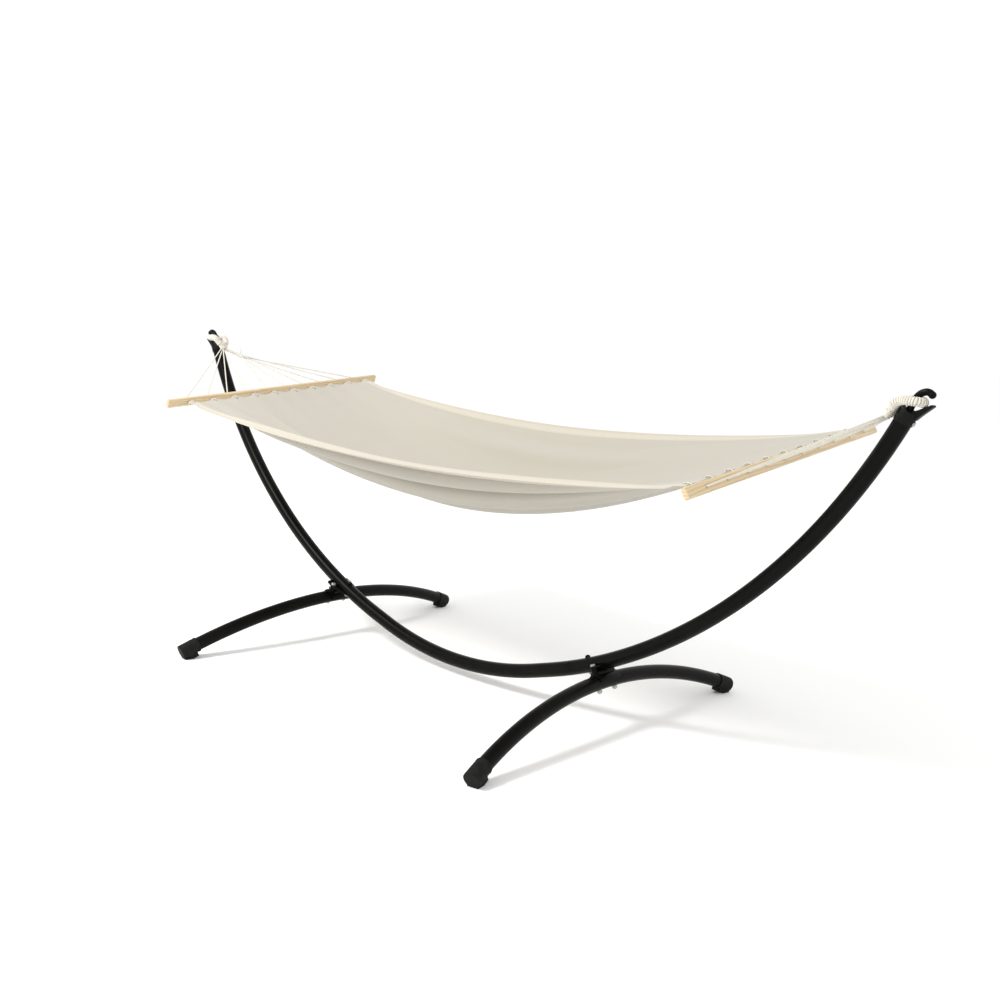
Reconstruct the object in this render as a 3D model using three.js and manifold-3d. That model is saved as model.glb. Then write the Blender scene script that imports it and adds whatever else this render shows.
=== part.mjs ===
// Hammock with wooden spreader bars, hung on a curved steel stand.
// Millimetres. +X runs along the stand, +Y across it, +Z up. The origin is on the
// floor at the middle of the stand. The stand is the same at both ends, so the left
// end is the right end turned half a turn about Z.
import * as THREE from 'three';
import { mergeVertices } from 'three/addons/utils/BufferGeometryUtils.js';
import Module from 'manifold-3d';

const wasm = await Module();
wasm.setup();

// ---------------------------------------------------------------- driving sizes
// Long arc: a tight middle bend, a short straight, then a wider bend to each end.
const TUBE_RADIUS = 21;
const TUBE_WALL = 1.8;
const MIDDLE_BEND_RADIUS = 1108;
const MIDDLE_BEND_LENGTH = 328;
const STRAIGHT_LENGTH = 56;
const SIDE_BEND_RADIUS = 1555;
const ARC_HALF_LENGTH = 1691;
const TUBE_SEAM_AT = 475;
const TUBE_FACET_LENGTH = 61;

// Inner sleeve that joins two arc tubes, and the bolt that locks it.
const SLEEVE_HALF_LENGTH = 80;
const SLEEVE_WALL = 2;
const JOINT_BOLT_AT = 537;

// Foot arches, carried square to the arc.
const SADDLE_AT = 576;
const FOOT_TUBE_RADIUS = 20.5;
const FOOT_TUBE_WALL = 1.8;
const FOOT_BEND_RADIUS = 1363;
const FOOT_HALF_LENGTH = 584;
const FOOT_AXIS_HEIGHT = 22.7;

// Rubber feet.
const FOOT_CAP_WALL = 2.2;
const FOOT_CAP_GRIP = 50;
const FOOT_CAP_END = 8;
const FOOT_PAD_WIDTH = 31;
const FOOT_PAD_LENGTH = 45;
const FOOT_PAD_BITE = 4;

// Saddle bracket between the arc and a foot arch.
const SADDLE_PLATE = 4;
const SADDLE_LENGTH = 54;
const SADDLE_HALF_WIDTH = 43;
const SADDLE_BOLT_Y = 34;
const SADDLE_POST_RADIUS = 8.5;
const SADDLE_WEB_SHARE = 0.6;
const FLANGE_BELOW_AXIS = 4;

// Fasteners.
const BOLT_RADIUS = 4;
const BOLT_HEAD_FLATS = 13;
const BOLT_HEAD_HEIGHT = 5.5;
const NUT_HEIGHT = 6.5;
const BOLT_PAST_NUT = 2;
const BOLT_CLEARANCE = 0.4;
const HOOK_BOLT_RADIUS = 3;
const HOOK_BOLT_HEAD_HEIGHT = 3;

// Domed nut on the joint bolt.
const DOMED_NUT_SIDE = 4;
const DOMED_NUT_TOP = 7;
const DOMED_NUT_RIM = 1.5;
const DOMED_NUT_BORE_END = 1;

// Hook and its cap at the top of each arc tube.
const HOOK_RADIUS = 8;
const HOOK_BOLT_DOWN = 18;
const HOOK_HOLE_GAP = 1.4;
const CAP_WALL = 1.6;
const CAP_SKIRT = 26;
const CAP_TOP = 4;
const WING_HALF_WIDTH = 9;
const HOOK_TIP_RADIUS = HOOK_RADIUS * 1.04;

// Rope loop over the hook, and the binding that gathers it.
const ROPE_RADIUS = 10;
const ROPE_HOOK_GAP = 1.5;
const BINDING_HALF_WIDTH = 1.8 * ROPE_RADIUS;
const BINDING_HALF_HEIGHT = ROPE_RADIUS;
const BINDING_GAP = 2.5;

// Hammock: where each spreader bar hangs from the end of its rope loop.
const BAR_LENGTH = 892;
const BAR_HEIGHT = 28;
const BAR_THICKNESS = 14;
const BAR_END_RADIUS = 5;
const LEFT_BAR = { reach: 348, drop: 125, tiltDegrees: 5.6 };
const RIGHT_BAR = { reach: 223, drop: 118, tiltDegrees: 7.2 };

// Ten cords at each end, laced through the bar to the cloth.
const CORD_COUNT = 10;
const CORD_RADIUS = 2.2;
const CORD_SIDES = 8;
const CORD_HOLE_CLEARANCE = 0.9;
const CORD_FAN_PITCH = CORD_RADIUS + 0.6;
const CORD_FAN_ROW = CORD_RADIUS + 0.5;
const CORD_START = 2.2;
const CORD_BEND_FROM_BAR = 5;
const CORD_CLOTH_GAP = 1.5;

// Second gathering point of the six far cords at the left end, from the rope loop.
const LEFT_GATHERED_FROM = 4;
const LEFT_GATHER = { along: 70, across: 34, down: 23 };
const GATHER_RADIUS = 7;

// Cloth bed.
const CLOTH_HALF_WIDTH = 384;
const CORD_EDGE_INSET = 10.5;
const CORD_PITCH = (2 * (CLOTH_HALF_WIDTH - CORD_EDGE_INSET)) / (CORD_COUNT - 1);
const CLOTH_THICKNESS = 3;
const CLOTH_GAP_LEFT = 31;
const CLOTH_GAP_RIGHT = 36;
const CLOTH_EDGE_SAG = 66;
const CLOTH_TROUGH = 185;
const CLOTH_NARROWING = 36;
const CLOTH_SAG_POWER = 1.87;

// Clearance kept between pieces that touch.
const GAP = 0.3;
const BEND_GAP = 0.5;

// Facets round each tube, rod and formed plate, and round each space cut for a tube.
const TUBE_SIDES = 12;
const ROD_SIDES = 12;
const PLATE_SIDES = 20;
const SPACE_SIDES = 24;

// ---------------------------------------------------------------- materials
const finish = (color, roughness, metalness) =>
  new THREE.MeshStandardMaterial({ color, roughness, metalness });
const BLACK_PAINT = () => finish(0x1a1a18, 0.42, 0.3);
const BLACK_RUBBER = () => finish(0x1d1d1b, 0.75, 0);
const ZINC = () => finish(0x9a9c9e, 0.35, 0.9);
const PINE = () => finish(0xd8b880, 0.6, 0);
const COTTON_ROPE = () => finish(0xe9e4d6, 0.9, 0);
const CANVAS = () => finish(0xddd6c6, 0.95, 0);

// ---------------------------------------------------------------- geometry helpers
function toSolid(geometry) {
  const bare = geometry.clone();
  bare.deleteAttribute('normal');
  bare.deleteAttribute('uv');
  const merged = mergeVertices(bare, 1e-3);
  return new wasm.Manifold(new wasm.Mesh({
    numProp: 3,
    vertProperties: new Float32Array(merged.attributes.position.array),
    triVerts: new Uint32Array(merged.index.array),
  }));
}

function toGeometry(solid) {
  const mesh = solid.getMesh();
  const geometry = new THREE.BufferGeometry();
  geometry.setAttribute('position', new THREE.Float32BufferAttribute(mesh.vertProperties, 3));
  geometry.setIndex(new THREE.BufferAttribute(new Uint32Array(mesh.triVerts), 1));
  geometry.computeVertexNormals();
  return geometry;
}

const joined = (geometries) =>
  toGeometry(geometries.map(toSolid).reduce((whole, piece) => whole.add(piece)));

const cut = (geometry, cutters) =>
  toGeometry(cutters.map(toSolid).reduce((whole, cutter) => whole.subtract(cutter), toSolid(geometry)));

function circlePoints(radius, sides) {
  const points = [];
  for (let i = 0; i < sides; i += 1) {
    const angle = (2 * Math.PI * i) / sides;
    points.push(new THREE.Vector2(radius * Math.cos(angle), radius * Math.sin(angle)));
  }
  return points;
}

// A solid rod, or a pipe where a bore is given, along a curve.
function sweep(path, radius, steps, sides = TUBE_SIDES, bore = 0) {
  const section = new THREE.Shape(circlePoints(radius, sides));
  if (bore > 0) section.holes.push(new THREE.Path(circlePoints(bore, sides)));
  return new THREE.ExtrudeGeometry(section, { extrudePath: path, steps, bevelEnabled: false });
}

// A closed solid through rings of equal, even point count. Each end is closed by a strip
// that joins a point of the ring's first half to the one facing it in the second. The two
// halves' triangles mirror each other, so a sheet is as thick between its points as at them.
function loft(rings) {
  const count = rings[0].length;
  const positions = rings.flat().flatMap((point) => point.toArray());
  const last = (rings.length - 1) * count;
  const index = [];
  for (let r = 0; r < rings.length - 1; r += 1) {
    for (let i = 0; i < count; i += 1) {
      const a = r * count + i;
      const b = r * count + ((i + 1) % count);
      if (i < count / 2) index.push(a, b, b + count, a, b + count, a + count);
      else index.push(a, b, a + count, b, b + count, a + count);
    }
  }
  for (let i = 0; i < count / 2 - 1; i += 1) {
    const facing = count - 1 - i;
    index.push(i, facing, i + 1, i + 1, facing, facing - 1);
    index.push(last + i, last + i + 1, last + facing, last + i + 1, last + facing - 1, last + facing);
  }
  const geometry = new THREE.BufferGeometry();
  geometry.setAttribute('position', new THREE.Float32BufferAttribute(positions, 3));
  geometry.setIndex(index);
  geometry.computeVertexNormals();
  return toSolid(geometry).volume() > 0 ? geometry : flipped(geometry);
}

function flipped(geometry) {
  const index = geometry.index.array;
  for (let i = 0; i < index.length; i += 3) {
    [index[i], index[i + 1]] = [index[i + 1], index[i]];
  }
  geometry.computeVertexNormals();
  return geometry;
}

// A cord of straight runs with mitred corners.
function mitredCord(points, radius, sides) {
  const directions = points.slice(1).map((p, i) => p.clone().sub(points[i]).normalize());
  const across = new THREE.Vector3(0, 0, 1).cross(directions[0]).normalize();
  const up = directions[0].clone().cross(across);
  const start = circlePoints(radius, sides).map((c) =>
    points[0].clone().addScaledVector(across, c.x).addScaledVector(up, c.y));
  const rings = [start];
  for (let i = 1; i < points.length; i += 1) {
    const along = directions[i - 1];
    const normal = i < directions.length ? along.clone().add(directions[i]).normalize() : along;
    rings.push(rings[i - 1].map((p) => {
      const distance = points[i].clone().sub(p).dot(normal) / along.dot(normal);
      return p.clone().addScaledVector(along, distance);
    }));
  }
  return loft(rings);
}

// Radius of a faceted space whose flats clear a round piece.
const spaceRadius = (radius, gap = GAP) => (radius + gap) / Math.cos(Math.PI / SPACE_SIDES);

// A cylinder along local Z between two heights.
function rod(radius, bottom, top, x = 0, y = 0, sides = ROD_SIDES) {
  const geometry = new THREE.CylinderGeometry(radius, radius, top - bottom, sides);
  geometry.rotateX(Math.PI / 2);
  geometry.translate(x, y, (top + bottom) / 2);
  return geometry;
}

function box(low, high) {
  const geometry = new THREE.BoxGeometry(high[0] - low[0], high[1] - low[1], high[2] - low[2]);
  geometry.translate((low[0] + high[0]) / 2, (low[1] + high[1]) / 2, (low[2] + high[2]) / 2);
  return geometry;
}

// ---------------------------------------------------------------- arc centreline
// Point and slope at a distance s along the arc from its lowest point, height from there.
function arcPose(s) {
  const length = Math.abs(s);
  const middleTurn = Math.min(length, MIDDLE_BEND_LENGTH) / MIDDLE_BEND_RADIUS;
  const straight = THREE.MathUtils.clamp(length - MIDDLE_BEND_LENGTH, 0, STRAIGHT_LENGTH);
  const sideTurn = Math.max(length - MIDDLE_BEND_LENGTH - STRAIGHT_LENGTH, 0) / SIDE_BEND_RADIUS;
  const slope = middleTurn + sideTurn;
  const x = MIDDLE_BEND_RADIUS * Math.sin(middleTurn) + straight * Math.cos(middleTurn)
    + SIDE_BEND_RADIUS * (Math.sin(slope) - Math.sin(middleTurn));
  const rise = MIDDLE_BEND_RADIUS * (1 - Math.cos(middleTurn)) + straight * Math.sin(middleTurn)
    + SIDE_BEND_RADIUS * (Math.cos(middleTurn) - Math.cos(slope));
  const sign = s < 0 ? -1 : 1;
  return { x: sign * x, rise, slope: sign * slope };
}

// The saddle point sets how high the arc stands: the foot arches carry it off the floor.
const saddlePose = arcPose(SADDLE_AT);
const SADDLE_SPACE = 2 * SADDLE_PLATE + 2 * GAP;
const FOOT_BELOW_ARC = TUBE_RADIUS + SADDLE_SPACE + FOOT_TUBE_RADIUS;
const footDrop = (s) => FOOT_BEND_RADIUS * (1 - Math.cos(s / FOOT_BEND_RADIUS));
const FOOT_TOP_HEIGHT = FOOT_AXIS_HEIGHT + footDrop(FOOT_HALF_LENGTH) * Math.cos(saddlePose.slope);
const SADDLE_HEIGHT = FOOT_TOP_HEIGHT + FOOT_BELOW_ARC * Math.cos(saddlePose.slope);
const ARC_LOWEST_AXIS = SADDLE_HEIGHT - saddlePose.rise;

class ArcCurve extends THREE.Curve {
  constructor(from, to) {
    super();
    this.from = from;
    this.to = to;
  }

  getPoint(t, target = new THREE.Vector3()) {
    const pose = arcPose(THREE.MathUtils.lerp(this.from, this.to, t));
    return target.set(pose.x, 0, ARC_LOWEST_AXIS + pose.rise);
  }
}

// Frame at a distance along the arc: local X along the tube, local Z square to it, inwards.
function arcFrame(s) {
  const pose = arcPose(s);
  const frame = new THREE.Matrix4().makeRotationY(-pose.slope);
  return frame.setPosition(pose.x, 0, ARC_LOWEST_AXIS + pose.rise);
}

// Foot arch in the saddle's frame: it runs across and drops away from the arc.
class FootCurve extends THREE.Curve {
  constructor(from, to) {
    super();
    this.from = from;
    this.to = to;
  }

  getPoint(t, target = new THREE.Vector3()) {
    const s = THREE.MathUtils.lerp(this.from, this.to, t);
    target.set(0, FOOT_BEND_RADIUS * Math.sin(s / FOOT_BEND_RADIUS), -FOOT_BELOW_ARC - footDrop(s));
    return target.applyMatrix4(arcFrame(SADDLE_AT));
  }
}

const inFrame = (geometry, s) => geometry.applyMatrix4(arcFrame(s));

// ---------------------------------------------------------------- stand pieces
const BOLT_HOLE_RADIUS = BOLT_RADIUS + BOLT_CLEARANCE;
const HOOK_BOLT_HOLE_RADIUS = HOOK_BOLT_RADIUS + BOLT_CLEARANCE;
const TUBE_BORE = TUBE_RADIUS - TUBE_WALL;
const facetsAlong = (length) => Math.ceil(length / TUBE_FACET_LENGTH);

const jointHole = () => inFrame(rod(BOLT_HOLE_RADIUS, -2 * TUBE_RADIUS, 2 * TUBE_RADIUS), JOINT_BOLT_AT);

function middleTube() {
  const path = new ArcCurve(-TUBE_SEAM_AT + GAP / 2, TUBE_SEAM_AT - GAP / 2);
  return sweep(path, TUBE_RADIUS, facetsAlong(2 * TUBE_SEAM_AT), TUBE_SIDES, TUBE_BORE);
}

function sideTube() {
  const path = new ArcCurve(TUBE_SEAM_AT + GAP / 2, ARC_HALF_LENGTH);
  const facets = facetsAlong(ARC_HALF_LENGTH - TUBE_SEAM_AT);
  const pipe = sweep(path, TUBE_RADIUS, facets, TUBE_SIDES, TUBE_BORE);
  const hookBoltHole = rod(HOOK_BOLT_HOLE_RADIUS, -2 * TUBE_RADIUS, 0, -HOOK_BOLT_DOWN);
  return cut(pipe, [jointHole(), inFrame(hookBoltHole, ARC_HALF_LENGTH)]);
}

function jointSleeve() {
  const radius = TUBE_BORE - BEND_GAP;
  const path = new ArcCurve(TUBE_SEAM_AT - SLEEVE_HALF_LENGTH, TUBE_SEAM_AT + SLEEVE_HALF_LENGTH);
  return cut(sweep(path, radius, 4, TUBE_SIDES, radius - SLEEVE_WALL), [jointHole()]);
}

function hexPrism(flats, bottom, top, x = 0, y = 0) {
  return rod(flats / Math.sqrt(3), bottom, top, x, y, 6);
}

function jointBolt() {
  const seat = -TUBE_RADIUS - GAP;
  const shank = rod(BOLT_RADIUS, seat - 1, TUBE_RADIUS + DOMED_NUT_SIDE);
  return inFrame(joined([hexPrism(BOLT_HEAD_FLATS, seat - BOLT_HEAD_HEIGHT, seat), shank]), JOINT_BOLT_AT);
}

// Domed nut: a lathe profile that leaves a blind bore for the bolt.
function domedNut() {
  const bore = BOLT_RADIUS + GAP;
  const boreEnd = DOMED_NUT_SIDE + DOMED_NUT_BORE_END;
  const outside = BOLT_HEAD_FLATS / 2;
  const rim = outside + DOMED_NUT_RIM;
  const dome = DOMED_NUT_TOP - DOMED_NUT_SIDE;
  const profile = [
    [bore, 0], [rim, 0], [rim, DOMED_NUT_RIM], [outside, DOMED_NUT_RIM], [outside, DOMED_NUT_SIDE],
    [outside * 0.8, DOMED_NUT_SIDE + dome * 0.6], [outside * 0.4, DOMED_NUT_SIDE + dome * 0.9],
    [0, DOMED_NUT_TOP], [0, boreEnd], [bore, boreEnd], [bore, 0],
  ].map(([radius, height]) => new THREE.Vector2(radius, height));
  const nut = new THREE.LatheGeometry(profile, ROD_SIDES);
  nut.rotateX(Math.PI / 2);
  nut.translate(0, 0, TUBE_RADIUS + GAP);
  return inFrame(toGeometry(toSolid(nut)), JOINT_BOLT_AT);
}

// Holes down through the flange and the foot arch, in the saddle's frame.
const saddleHoles = () => [-SADDLE_BOLT_Y, SADDLE_BOLT_Y].map((y) =>
  rod(BOLT_HOLE_RADIUS, -FOOT_BELOW_ARC - 2 * FOOT_TUBE_RADIUS, TUBE_RADIUS, 0, y));

function footArch() {
  const path = new FootCurve(-FOOT_HALF_LENGTH, FOOT_HALF_LENGTH);
  const pipe = sweep(path, FOOT_TUBE_RADIUS, 18, TUBE_SIDES, FOOT_TUBE_RADIUS - FOOT_TUBE_WALL);
  return cut(pipe, saddleHoles().map((hole) => inFrame(hole, SADDLE_AT)));
}

function saddleBracket() {
  const half = SADDLE_LENGTH / 2;
  const beyond = 2 * SADDLE_HALF_WIDTH;
  const shell = (radius, reach) => rod(radius + GAP + SADDLE_PLATE, -reach, reach, 0, 0, PLATE_SIDES);
  const trough = shell(TUBE_RADIUS, half).rotateY(Math.PI / 2);
  const upperHalf = box([-beyond, -beyond, -FLANGE_BELOW_AXIS], [beyond, beyond, beyond]);
  const flange = box([-half, -SADDLE_HALF_WIDTH, -FLANGE_BELOW_AXIS - SADDLE_PLATE],
    [half, SADDLE_HALF_WIDTH, -FLANGE_BELOW_AXIS]);
  const cradle = shell(FOOT_TUBE_RADIUS, SADDLE_HALF_WIDTH).rotateX(Math.PI / 2);
  cradle.translate(0, 0, -FOOT_BELOW_ARC);
  const lowerHalf = box([-beyond, -beyond, -FOOT_BELOW_ARC - beyond], [beyond, beyond, -FOOT_BELOW_ARC]);
  const posts = [-SADDLE_BOLT_Y, SADDLE_BOLT_Y].map((y) =>
    rod(SADDLE_POST_RADIUS, -FOOT_BELOW_ARC, -FLANGE_BELOW_AXIS - 1, 0, y));
  const webHalf = half * SADDLE_WEB_SHARE;
  const web = box([-webHalf, -SADDLE_BOLT_Y, -FOOT_BELOW_ARC + FOOT_TUBE_RADIUS],
    [webHalf, SADDLE_BOLT_Y, -TUBE_RADIUS]);
  const whole = joined([cut(trough, [upperHalf]), flange, cut(cradle, [lowerHalf]), ...posts, web]);
  const arcSpace = rod(spaceRadius(TUBE_RADIUS), -SADDLE_LENGTH, SADDLE_LENGTH, 0, 0, SPACE_SIDES);
  const footSpace = sweep(new FootCurve(-beyond, beyond), spaceRadius(FOOT_TUBE_RADIUS), 2, SPACE_SIDES);
  return cut(inFrame(cut(whole, [arcSpace.rotateY(Math.PI / 2), ...saddleHoles()]), SADDLE_AT), [footSpace]);
}

const nutSeat = -FOOT_BELOW_ARC - FOOT_TUBE_RADIUS - footDrop(SADDLE_BOLT_Y) - 2 * GAP;

function saddleBolt(y) {
  const seat = -FLANGE_BELOW_AXIS + GAP;
  const shank = rod(BOLT_RADIUS, nutSeat - NUT_HEIGHT - BOLT_PAST_NUT, seat + 1, 0, y);
  return inFrame(joined([hexPrism(BOLT_HEAD_FLATS, seat, seat + BOLT_HEAD_HEIGHT, 0, y), shank]), SADDLE_AT);
}

function saddleNut(y) {
  const nut = cut(hexPrism(BOLT_HEAD_FLATS, nutSeat - NUT_HEIGHT, nutSeat, 0, y),
    [rod(BOLT_RADIUS + GAP, nutSeat - 2 * NUT_HEIGHT, nutSeat + NUT_HEIGHT, 0, y)]);
  return inFrame(nut, SADDLE_AT);
}

// Rubber foot: a sleeve over the arch's end with a square pad below, flat on the floor.
function rubberFoot(side) {
  const outside = FOOT_TUBE_RADIUS + GAP + FOOT_CAP_WALL;
  const end = FOOT_HALF_LENGTH + FOOT_CAP_END;
  const sleeve = sweep(new FootCurve(side * (FOOT_HALF_LENGTH - FOOT_CAP_GRIP), side * end), outside, 2);
  const along = new FootCurve(side * (end - 1), side * end);
  const tip = along.getPoint(1);
  const outward = tip.clone().sub(along.getPoint(0)).normalize();
  const level = outward.clone().cross(new THREE.Vector3(0, 0, 1)).normalize();
  const down = outward.clone().cross(level);
  const depth = (tip.z + FOOT_PAD_BITE) / -down.z;
  const pad = box([-FOOT_PAD_LENGTH, -FOOT_PAD_WIDTH / 2, 0], [0, FOOT_PAD_WIDTH / 2, depth]);
  pad.applyMatrix4(new THREE.Matrix4().makeBasis(outward, level, down).setPosition(tip));
  const tubeSpace = sweep(new FootCurve(side * (FOOT_HALF_LENGTH - 2 * FOOT_CAP_GRIP),
    side * (FOOT_HALF_LENGTH + GAP)), spaceRadius(FOOT_TUBE_RADIUS, BEND_GAP), 3, SPACE_SIDES);
  const beyond = 2 * FOOT_CAP_GRIP;
  const belowFloor = box([tip.x - beyond, tip.y - beyond, -beyond], [tip.x + beyond, tip.y + beyond, 0]);
  return cut(joined([sleeve, pad]), [tubeSpace, belowFloor]);
}

// ---------------------------------------------------------------- hook end
// Points in the plane of the arc at its top: out is away from the hammock, up is along the tube.
const topFrame = arcFrame(ARC_HALF_LENGTH);
const hookPoint = (out, up, y = 0) => new THREE.Vector3(up, y, -out).applyMatrix4(topFrame);

const HOOK_ROUTE = [[0, -46], [0, -10], [-2, 26], [-0.5, 40], [4.5, 50], [12, 56.5], [19, 58], [25.5, 56.5]];

function hookFinger() {
  const path = new THREE.CatmullRomCurve3(HOOK_ROUTE.map(([out, up]) => hookPoint(out, up)));
  const tip = new THREE.IcosahedronGeometry(HOOK_TIP_RADIUS, 1);
  tip.translate(...hookPoint(...HOOK_ROUTE.at(-1)).toArray());
  const hole = rod(HOOK_BOLT_RADIUS + GAP, -2 * TUBE_RADIUS, -1, -HOOK_BOLT_DOWN);
  return cut(joined([sweep(path, HOOK_RADIUS, 18, 10), tip]), [inFrame(hole, ARC_HALF_LENGTH)]);
}

// Side of the cap's wing: points inside the tube, then points measured out from its wall.
const WING_INSIDE = [[2, -12], [2, 4], [9, 6], [17, 14]];
const WING_OUTSIDE = [[16, 38.5], [20, 39.5], [22, 36.5], [9, 8], [2.5, -9]];

function hookCap() {
  const outside = TUBE_RADIUS + GAP + CAP_WALL;
  const skirt = rod(outside, -CAP_SKIRT, CAP_TOP, 0, 0, SPACE_SIDES);
  const outline = [...WING_INSIDE, ...WING_OUTSIDE.map(([past, up]) => [TUBE_RADIUS + past, up])];
  const wing = new THREE.ExtrudeGeometry(
    new THREE.Shape(outline.map(([out, up]) => new THREE.Vector2(out, up))),
    { depth: 2 * WING_HALF_WIDTH, bevelEnabled: false });
  wing.translate(0, 0, -WING_HALF_WIDTH).rotateX(Math.PI / 2);
  const tubeSpace = rod(spaceRadius(TUBE_RADIUS), -2 * CAP_SKIRT, GAP, 0, 0, SPACE_SIDES);
  const hookSpace = rod(HOOK_RADIUS + HOOK_HOLE_GAP, -CAP_TOP, 2 * CAP_TOP);
  const boltSpace = rod(HOOK_BOLT_HOLE_RADIUS, 0, 2 * TUBE_RADIUS).rotateY(Math.PI / 2);
  boltSpace.translate(0, 0, -HOOK_BOLT_DOWN);
  const cap = cut(joined([skirt, wing]), [tubeSpace, hookSpace, boltSpace]);
  // The cap is drawn with Z up the tube and X outwards.
  const upTheTube = new THREE.Matrix4().makeBasis(
    new THREE.Vector3(0, 0, -1), new THREE.Vector3(0, 1, 0), new THREE.Vector3(1, 0, 0));
  return cap.applyMatrix4(upTheTube).applyMatrix4(topFrame);
}

function hookBolt() {
  const seat = -TUBE_RADIUS - 2 * GAP - CAP_WALL;
  const head = rod(2 * HOOK_BOLT_RADIUS, seat - HOOK_BOLT_HEAD_HEIGHT, seat, -HOOK_BOLT_DOWN);
  const shank = rod(HOOK_BOLT_RADIUS, seat - 1, -2, -HOOK_BOLT_DOWN);
  return inFrame(joined([head, shank]), ARC_HALF_LENGTH);
}

// The rope's two legs pass the hook on either side and drop over the cap to the binding.
// Each point: out, up the tube, and aside of the hook.
const LEG_ASIDE = HOOK_RADIUS + ROPE_RADIUS + ROPE_HOOK_GAP;
const LEG_CLEAR = TUBE_RADIUS + ROPE_RADIUS;
const LOOP_ROUTE = [
  [LEG_ASIDE - 2, 32.5, 0], [LEG_ASIDE * 0.5, 31, LEG_ASIDE * 0.8],
  [-2, 26.5, LEG_ASIDE], [13 - LEG_CLEAR, 19.5, LEG_ASIDE],
  [0.5 - LEG_CLEAR, 5, LEG_ASIDE * 0.95], [-3.5 - LEG_CLEAR, -13, LEG_ASIDE * 0.6],
];
const knot = hookPoint(-5 - LEG_CLEAR, -33);

function ropeLoop() {
  const leg = (side) => LOOP_ROUTE.map(([out, up, y]) => hookPoint(out, up, side * y));
  const path = new THREE.CatmullRomCurve3([...leg(-1).reverse(), ...leg(1).slice(1)]);
  return sweep(path, ROPE_RADIUS, 24, 8);
}

// Binding: from the legs' ends to a flat end face square to the stand's length.
function ropeBinding() {
  const legEnd = hookPoint(LOOP_ROUTE.at(-1)[0], LOOP_ROUTE.at(-1)[1]);
  const before = hookPoint(LOOP_ROUTE.at(-2)[0], LOOP_ROUTE.at(-2)[1]);
  const along = legEnd.clone().sub(before).normalize();
  const across = new THREE.Vector3(0, 1, 0);
  const square = along.clone().cross(across);
  const start = legEnd.clone().addScaledVector(along, BINDING_GAP);
  const ring = (centre, side, share) => circlePoints(share, 16).map((c) => centre.clone()
    .addScaledVector(across, c.x * BINDING_HALF_WIDTH).addScaledVector(side, c.y * BINDING_HALF_HEIGHT));
  const vertical = new THREE.Vector3(0, 0, -1);
  return loft([
    ring(start, square, 1),
    ring(start.clone().lerp(knot, 0.5), square.clone().lerp(vertical, 0.5).normalize(), 0.9),
    ring(knot, vertical, 0.8),
  ]);
}

// ---------------------------------------------------------------- hammock
// Each end has its knot, its bar and the direction that points away from the hammock.
const barOf = ({ reach, drop, tiltDegrees }, out) => {
  const centre = new THREE.Vector3(out * (knot.x - reach), 0, knot.z - drop);
  const frame = new THREE.Matrix4().makeRotationX(THREE.MathUtils.degToRad(tiltDegrees));
  frame.multiply(new THREE.Matrix4().makeRotationY(-out * Math.atan2(drop, reach)));
  return { out, centre, frame: frame.setPosition(centre), tilt: THREE.MathUtils.degToRad(tiltDegrees) };
};
const leftBar = barOf(LEFT_BAR, -1);
const rightBar = barOf(RIGHT_BAR, 1);

const cordY = (i) => (i - (CORD_COUNT - 1) / 2) * CORD_PITCH;

function spreaderBar(bar) {
  const section = new THREE.Shape();
  const [w, h, r] = [BAR_THICKNESS / 2, BAR_HEIGHT / 2, BAR_END_RADIUS];
  section.moveTo(-w + r, -h);
  section.lineTo(w - r, -h);
  section.absarc(w - r, -h + r, r, -Math.PI / 2, 0);
  section.absarc(w - r, h - r, r, 0, Math.PI / 2);
  section.absarc(-w + r, h - r, r, Math.PI / 2, Math.PI);
  section.absarc(-w + r, -h + r, r, Math.PI, 1.5 * Math.PI);
  const length = { depth: BAR_LENGTH, bevelEnabled: false, curveSegments: 2 };
  const blank = new THREE.ExtrudeGeometry(section, length);
  blank.translate(0, 0, -BAR_LENGTH / 2).rotateX(Math.PI / 2);
  const holes = [];
  for (let i = 0; i < CORD_COUNT; i += 1) {
    const hole = rod(CORD_RADIUS + CORD_HOLE_CLEARANCE, -BAR_THICKNESS, BAR_THICKNESS, 0, 0, CORD_SIDES);
    holes.push(hole.rotateY(Math.PI / 2).translate(0, cordY(i), 0));
  }
  return cut(blank, holes).applyMatrix4(bar.frame);
}

// Cloth surface: u runs from the left end to the right end, t from the near edge to the far edge.
function clothPoint(u, t) {
  const leftEnd = leftBar.centre.x + CLOTH_GAP_LEFT;
  const rightEnd = rightBar.centre.x - CLOTH_GAP_RIGHT;
  const share = (u + 1) / 2;
  const tilt = THREE.MathUtils.lerp(leftBar.tilt, rightBar.tilt, share);
  const sag = 1 - Math.abs(u) ** CLOTH_SAG_POWER;
  const halfWidth = CLOTH_HALF_WIDTH - CLOTH_NARROWING * sag;
  const endHeight = THREE.MathUtils.lerp(leftBar.centre.z, rightBar.centre.z, share);
  return new THREE.Vector3(
    THREE.MathUtils.lerp(leftEnd, rightEnd, share),
    t * halfWidth * Math.cos(tilt),
    endHeight + t * halfWidth * Math.sin(tilt) - sag * (CLOTH_EDGE_SAG + CLOTH_TROUGH * (1 - t * t)));
}

function clothBed() {
  const lengthSteps = 22;
  const widthSteps = 10;
  const rings = [];
  for (let i = 0; i <= lengthSteps; i += 1) {
    const u = (2 * i) / lengthSteps - 1;
    const top = [];
    for (let j = 0; j <= widthSteps; j += 1) top.push(clothPoint(u, (2 * j) / widthSteps - 1));
    const under = top.map((p) => p.clone().setZ(p.z - CLOTH_THICKNESS)).reverse();
    rings.push([...top, ...under]);
  }
  return loft(rings);
}

// Where the six far cords at the left end are gathered a second time.
const gather = new THREE.Vector3(-knot.x + LEFT_GATHER.along, LEFT_GATHER.across, knot.z - LEFT_GATHER.down);

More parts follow.
